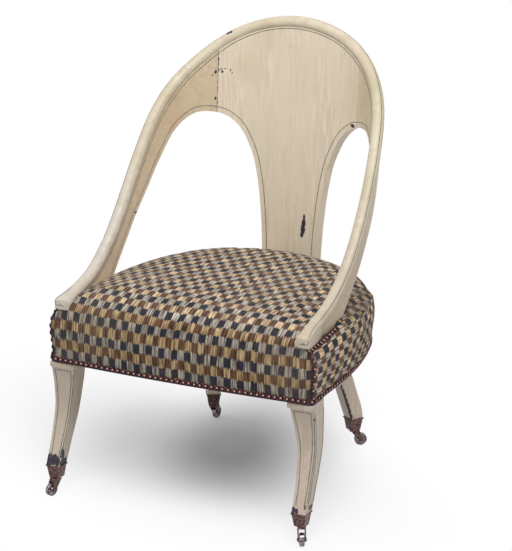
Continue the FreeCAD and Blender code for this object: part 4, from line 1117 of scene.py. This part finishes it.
# %% Arm ends
END_FRONT = 0.0010
END_WIDTH = 0.0255
END_HEIGHT = 0.020
END_LENGTH = 0.071


def sized_cube(name, middle, sizes):
    """A cube with its place and its sizes in its mesh."""
    deselect_all()
    bpy.ops.mesh.primitive_cube_add(size=1, location=middle)
    cube = bpy.context.object
    cube.name = name
    cube.scale = sizes
    bpy.ops.object.transform_apply(location=True, rotation=True, scale=True)
    return cube


arm_ends = []
for side, name, paint in ((1, "arm_end_right", right_rim_paint), (-1, "arm_end_left", left_rim_paint)):
    arm_end = sized_cube(name, (0.24375 * side, END_FRONT + END_LENGTH / 2 - SETBACK, 0.368),
                         (END_WIDTH, END_LENGTH, END_HEIGHT))
    select_faces(arm_end, [face.normal.y > 0.9 for face in arm_end.data.polygons])
    bpy.ops.transform.resize(value=(0.0155 / END_WIDTH, 1, 0.041 / END_HEIGHT))
    bpy.ops.transform.translate(value=(-0.0030 * side, 0, 0.0045))
    object_mode()
    apply_modifier(arm_end, "BEVEL", width=0.0026, segments=4)
    bpy.ops.object.shade_smooth_by_angle(angle=math.radians(50))
    wear_finish(arm_end, paint)
    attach(arm_end, "chair")
    arm_ends.append(arm_end)
    print(name, "has", len(arm_end.data.polygons), "faces")

# %% [markdown]
# Thin grey-green lines were painted by hand along the rim, round both openings and on the legs. Each
# is laid as a fine bead along points that are found on the wood, most of it sunk below the surface. In
# a material such a line would be hard to bend along the rim, and a bead follows any path.

# %% Painted lines
LINE_RADIUS = 0.0009
LINE_SUNK = 0.0004
line_paint, tree, shader, position = new_material("grey green line paint")
patch = between(noise(position, 120.0, 3.0), 0.35, 0.7)
wire(shader, {"Base Color": blend(patch, tone(78, 82, 74), tone(134, 128, 110)), "Roughness": 0.5})


def smooth_path(points, steps=6):
    """A smooth line through points, with more points between each pair."""
    line = []
    ends = [points[0] * 2 - points[1]] + points + [points[-1] * 2 - points[-2]]
    for a, b, c, d in zip(ends[:-3], ends[1:-2], ends[2:-1], ends[3:]):
        for t in (step / steps for step in range(steps)):
            line.append(0.5 * (2 * b + (c - a) * t + (2 * a - 5 * b + 4 * c - d) * t * t
                               + (3 * b - a - 3 * c + d) * t ** 3))
    return line + [points[-1]]


def directions_along(line):
    """The direction of a line at each of its points."""
    return [(line[min(i + 1, len(line) - 1)] - line[max(i - 1, 0)]).normalized() for i in range(len(line))]


def paint_line(name, lines):
    """One object of beads along open lines of points."""
    data = bpy.data.curves.new(name, "CURVE")
    data.dimensions = "3D"
    data.bevel_depth = LINE_RADIUS
    data.bevel_resolution = 1
    for line in lines:
        spline = data.splines.new("POLY")
        spline.points.add(len(line) - 1)
        for item, point in zip(spline.points, line):
            item.co = (*point, 1)
    make_active(new_object(name, data))
    bpy.ops.object.convert(target="MESH")
    bead = bpy.context.object
    bpy.ops.object.shade_smooth()
    wear_finish(bead, line_paint)
    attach(bead, "chair")
    print([len(line) for line in lines], "points on", name)


# %% [markdown]
# The lines of the back follow places measured in the photograph, in millimetres: X and Z across the
# back, and Y and Z along the arms. Two of the three are enough, because each point lies on the back's
# middle line, and the curve of the boards gives the third.

# %% Places on the back
ROLL_ARM = [(3, 363), (38, 377), (76, 387), (108, 396.5), (138, 411.5), (170, 433), (202, 461), (237, 500),
            (276, 550), (316, 605), (352, 653)]
ROLL_CREST = [(212, 705), (177, 750), (136, 784), (92, 806), (45, 819), (0, 823.5)]
SPLAT_EDGE = [(60, 371), (61.3, 400), (63.5, 434), (66.5, 464), (70.5, 497), (76, 528), (83, 557), (92.5, 581),
              (106.5, 608), (121, 625), (141, 639), (161, 645), (179, 646.5)]
ARM_EDGE = [(424, 643), (404, 631), (386, 615.5), (361, 584.5), (336, 553), (312.5, 522.5), (289, 496.5),
            (264, 470), (240.5, 443.5), (217, 419), (193, 395), (170, 372)]


def arm_line_place(along, z):
    """A point of the back's middle line, from Y and Z."""
    half_width, depth = barrel_sizes(z / 1000)
    y = along / 1000 - ARM_STRAIGHT
    if y <= 0:
        return Vector((half_width, along / 1000 - SETBACK, z / 1000))
    return wall_place(half_width * max(1 - (y / depth) ** BACK_POWER, 0) ** (1 / BACK_POWER), y, z / 1000)


def back_line_place(across, z):
    """A point of the back's middle line, from X and Z."""
    half_width, depth = barrel_sizes(z / 1000)
    x = across / 1000
    return wall_place(x, depth * (1 - (abs(x) / half_width) ** BACK_POWER) ** (1 / BACK_POWER), z / 1000)


def wall_place(x, y, z):
    """The point of the back's middle line in the direction of X and Y."""
    half_width, depth = barrel_sizes(z)
    angle = math.atan2(y / depth, x / half_width)
    reach = (abs(math.cos(angle)) ** BACK_POWER + abs(math.sin(angle)) ** BACK_POWER) ** (-1 / BACK_POWER)
    return Vector((half_width * math.cos(angle) * reach, ARM_STRAIGHT_END + depth * math.sin(angle) * reach, z))


def wall_outward(point):
    """The level direction that points out of the back's wall."""
    half_width, depth = barrel_sizes(point.z)
    x = abs(point.x) / half_width
    y = max(point.y - ARM_STRAIGHT_END, 0) / depth
    return Vector((math.copysign(x ** (BACK_POWER - 1) / half_width, point.x), y ** (BACK_POWER - 1) / depth,
                   0)).normalized()


right_roll = [arm_line_place(y, z) for y, z in ROLL_ARM] + [back_line_place(x, z) for x, z in ROLL_CREST]
roll_line = smooth_path(right_roll + [mirror(place) for place in reversed(right_roll[:-1])])
arch = smooth_path([back_line_place(x, z) for x, z in SPLAT_EDGE] + [arm_line_place(y, z) for y, z in ARM_EDGE])
print(len(roll_line), "points along the rim and", len(arch), "round an opening")

# %% [markdown]
# The outer line lies on the rim and leans outwards where the rim comes down into the arms. The inner
# ones lie on the wall's inner face, beside the rim and about a centimetre from the openings. Rays from
# outside the rim and from inside the wall find the wood, and a short line closes each arm's squared end.

# %% Lines of the back
roll_tree = tree_of([nodes[name] for name in RIM_PIECES] + arm_ends)
wall_tree = tree_of([nodes[name] for name in BACK_PIECES])


def lean_of_line(point):
    """How far the outer line leans outwards from the top of the rim, in degrees: more on the arms."""
    share = min(max((point.z - 0.42) / 0.36, 0), 1)
    near_end = min(max((0.48 - point.z) / 0.08, 0), 1)
    left_arm = 22 * (1 - share) if point.x < 0 else 0
    return 58 - 40 * share - 10 * near_end - left_arm * (1 - near_end)


def rim_line():
    """Points on the rim at an angle from its top."""
    line = []
    for point, along in zip(roll_line, directions_along(roll_line)):
        out = wall_outward(point)
        across = (out - along * out.dot(along)).normalized()
        up = along.cross(across)
        up = -up if up.z < 0 else up
        angle = math.radians(lean_of_line(point))
        aim = across * math.sin(angle) + up * math.cos(angle)
        place = roll_tree.ray_cast(point + aim * 0.03, -aim)[0]
        if place is not None:
            line.append(place - aim * LINE_SUNK)
    return line


def wall_line(points, drop):
    """Points on the inner face of the wall, moved square to a line of the wall by a distance."""
    line = []
    for point, along in zip(points, directions_along(points)):
        out = wall_outward(point)
        aim = point + along.cross(out).normalized() * drop
        place = wall_tree.ray_cast(aim - out * 0.03, out)[0]
        if place is not None and (place - aim).length < 0.03:
            line.append(place + out * LINE_SUNK)
    return line


end_line = [Vector((x, END_FRONT + LINE_SUNK - SETBACK, z)) for x, z in
            ((0.2365, 0.3665), (0.2400, 0.3668), (0.2480, 0.3668), (0.2536, 0.3672), (0.2538, 0.3710),
             (0.2536, 0.3755))]
paint_line("back_lines", [rim_line(), wall_line(roll_line, 0.0104), wall_line(arch, 0.0105),
                          wall_line([mirror(place) for place in arch], -0.0105), end_line,
                          [mirror(place) for place in end_line]])

# %% [markdown]
# The front legs have a long painted panel line on the front face, a second line close to one arris, and
# a line along both arrises of the outer side. The legs are curved, so at each height a row of level
# rays finds where the flat face begins and ends, and the lines keep their distance from its edges.

# %% Lines on the legs
LINE_TOP = 0.240
LINE_FOOT = 0.073
LINE_STEPS = 56
LINE_INSET = 0.0056
ARRIS_INSET = 0.0011
LEG_LINE_SUNK = 0.0002
RAY_STEP = 0.0008


def face_span(tree, height, ray, low, high):
    """The first and the last place where rays from one side meet a flat face at a height."""
    found = []
    for step in range(int((high - low) / RAY_STEP)):
        share = low + RAY_STEP * step
        start_place = Vector((share, -0.8, height)) if ray.y else Vector((math.copysign(0.5, -ray.x), share, height))
        place, normal = tree.ray_cast(start_place, ray)[:2]
        if place is not None and normal.dot(ray) < -0.85:
            found.append(place)
    return (found[0], found[-1]) if len(found) > 3 else None


leg_lines = []
for side, name in ((1, "front_leg_right"), (-1, "front_leg_left")):
    leg_tree = tree_of([nodes[name]])
    inner, second, outer, front_arris, rear_arris = [], [], [], [], []
    inset = Vector((LINE_INSET * side, 0, 0))
    for step in range(LINE_STEPS + 1):
        height = LINE_FOOT + (LINE_TOP - LINE_FOOT) * step / LINE_STEPS
        span = face_span(leg_tree, height, Vector((0, 1, 0)), *sorted((0.19 * side, 0.28 * side)))
        if span is not None:
            near, far = [place + Vector((0, LEG_LINE_SUNK, 0)) for place in sorted(span, key=lambda p: abs(p.x))]
            inner.append(near + inset)
            second.append((near if side < 0 else far) - Vector((ARRIS_INSET, 0, 0)))
            outer.append(far - inset)
        span = face_span(leg_tree, height, Vector((-side, 0, 0)), -0.30, -0.16)
        if span is not None:
            front_arris.append(span[0] + Vector((-LEG_LINE_SUNK * side, 0.0030, 0)))
            rear_arris.append(span[1] - Vector((LEG_LINE_SUNK * side, 0.0026, 0)))
    leg_lines += [inner + outer[::-1], second[2:-2], front_arris, rear_arris]
paint_line("leg_lines", leg_lines)

# %% [markdown]
# A small moulded block sits on top of each front leg, right under the cover. It is a cube with its
# arrises eased.

# %% Leg collars
COLLAR_LOW = 0.2462
COLLAR_HIGH = 0.2568
for side, name in ((1, "leg_collar_right"), (-1, "leg_collar_left")):
    collar = sized_cube(name, (0.2413 * side, 0.0195 - SETBACK, (COLLAR_LOW + COLLAR_HIGH) / 2),
                        (0.0510, 0.0480, COLLAR_HIGH - COLLAR_LOW))
    apply_modifier(collar, "BEVEL", width=0.0018, segments=3)
    bpy.ops.object.shade_smooth_by_angle(angle=math.radians(40))
    wear_finish(collar, leg_paint)
    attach(collar, "chair")
    print(name, "has", len(collar.data.polygons), "faces")

# %% [markdown]
# The bottom is closed by a thin dark cloth, tacked inside the rails. It hangs a few millimetres
# between them. So small a sag needs no simulation: a copy of the solid sheet is divided finely, and its
# points are lowered with their distance from the edges.

# %% Bottom cloth
SAG = 0.004
bottom_cloth = copies_joined(["bottom_cloth"], "bottom_dust_cloth")
apply_modifier(bottom_cloth, "SUBSURF", levels=3, render_levels=3, subdivision_type="SIMPLE")
points = points_of(bottom_cloth)
from_side = OUTLINE[:, 0].max() - np.abs(points[:, 0])
from_ends = np.minimum(points[:, 1] + 0.230, 0.235 - points[:, 1])
points[:, 2] -= SAG * np.clip(np.minimum(from_side, from_ends) / 0.18, 0, 1) ** 0.7
move_points(bottom_cloth, points)
dust_finish, tree, shader, position = new_material("black bottom cloth")
threads = times(noise(vector_maths("MULTIPLY", position, (900, 120, 100)), 1.0),
                noise(vector_maths("MULTIPLY", position, (120, 900, 100)), 1.0))
wire(shader, {"Base Color": blend(between(threads, 0.15, 0.4), tone(30, 28, 28), tone(72, 66, 62)),
              "Normal": bump(times(threads, 0.0004)), "Roughness": 0.95})
wear_finish(bottom_cloth, dust_finish)
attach(bottom_cloth, "chair")
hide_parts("bottom_cloth")
print("bottom cloth:", len(bottom_cloth.data.polygons), "faces")
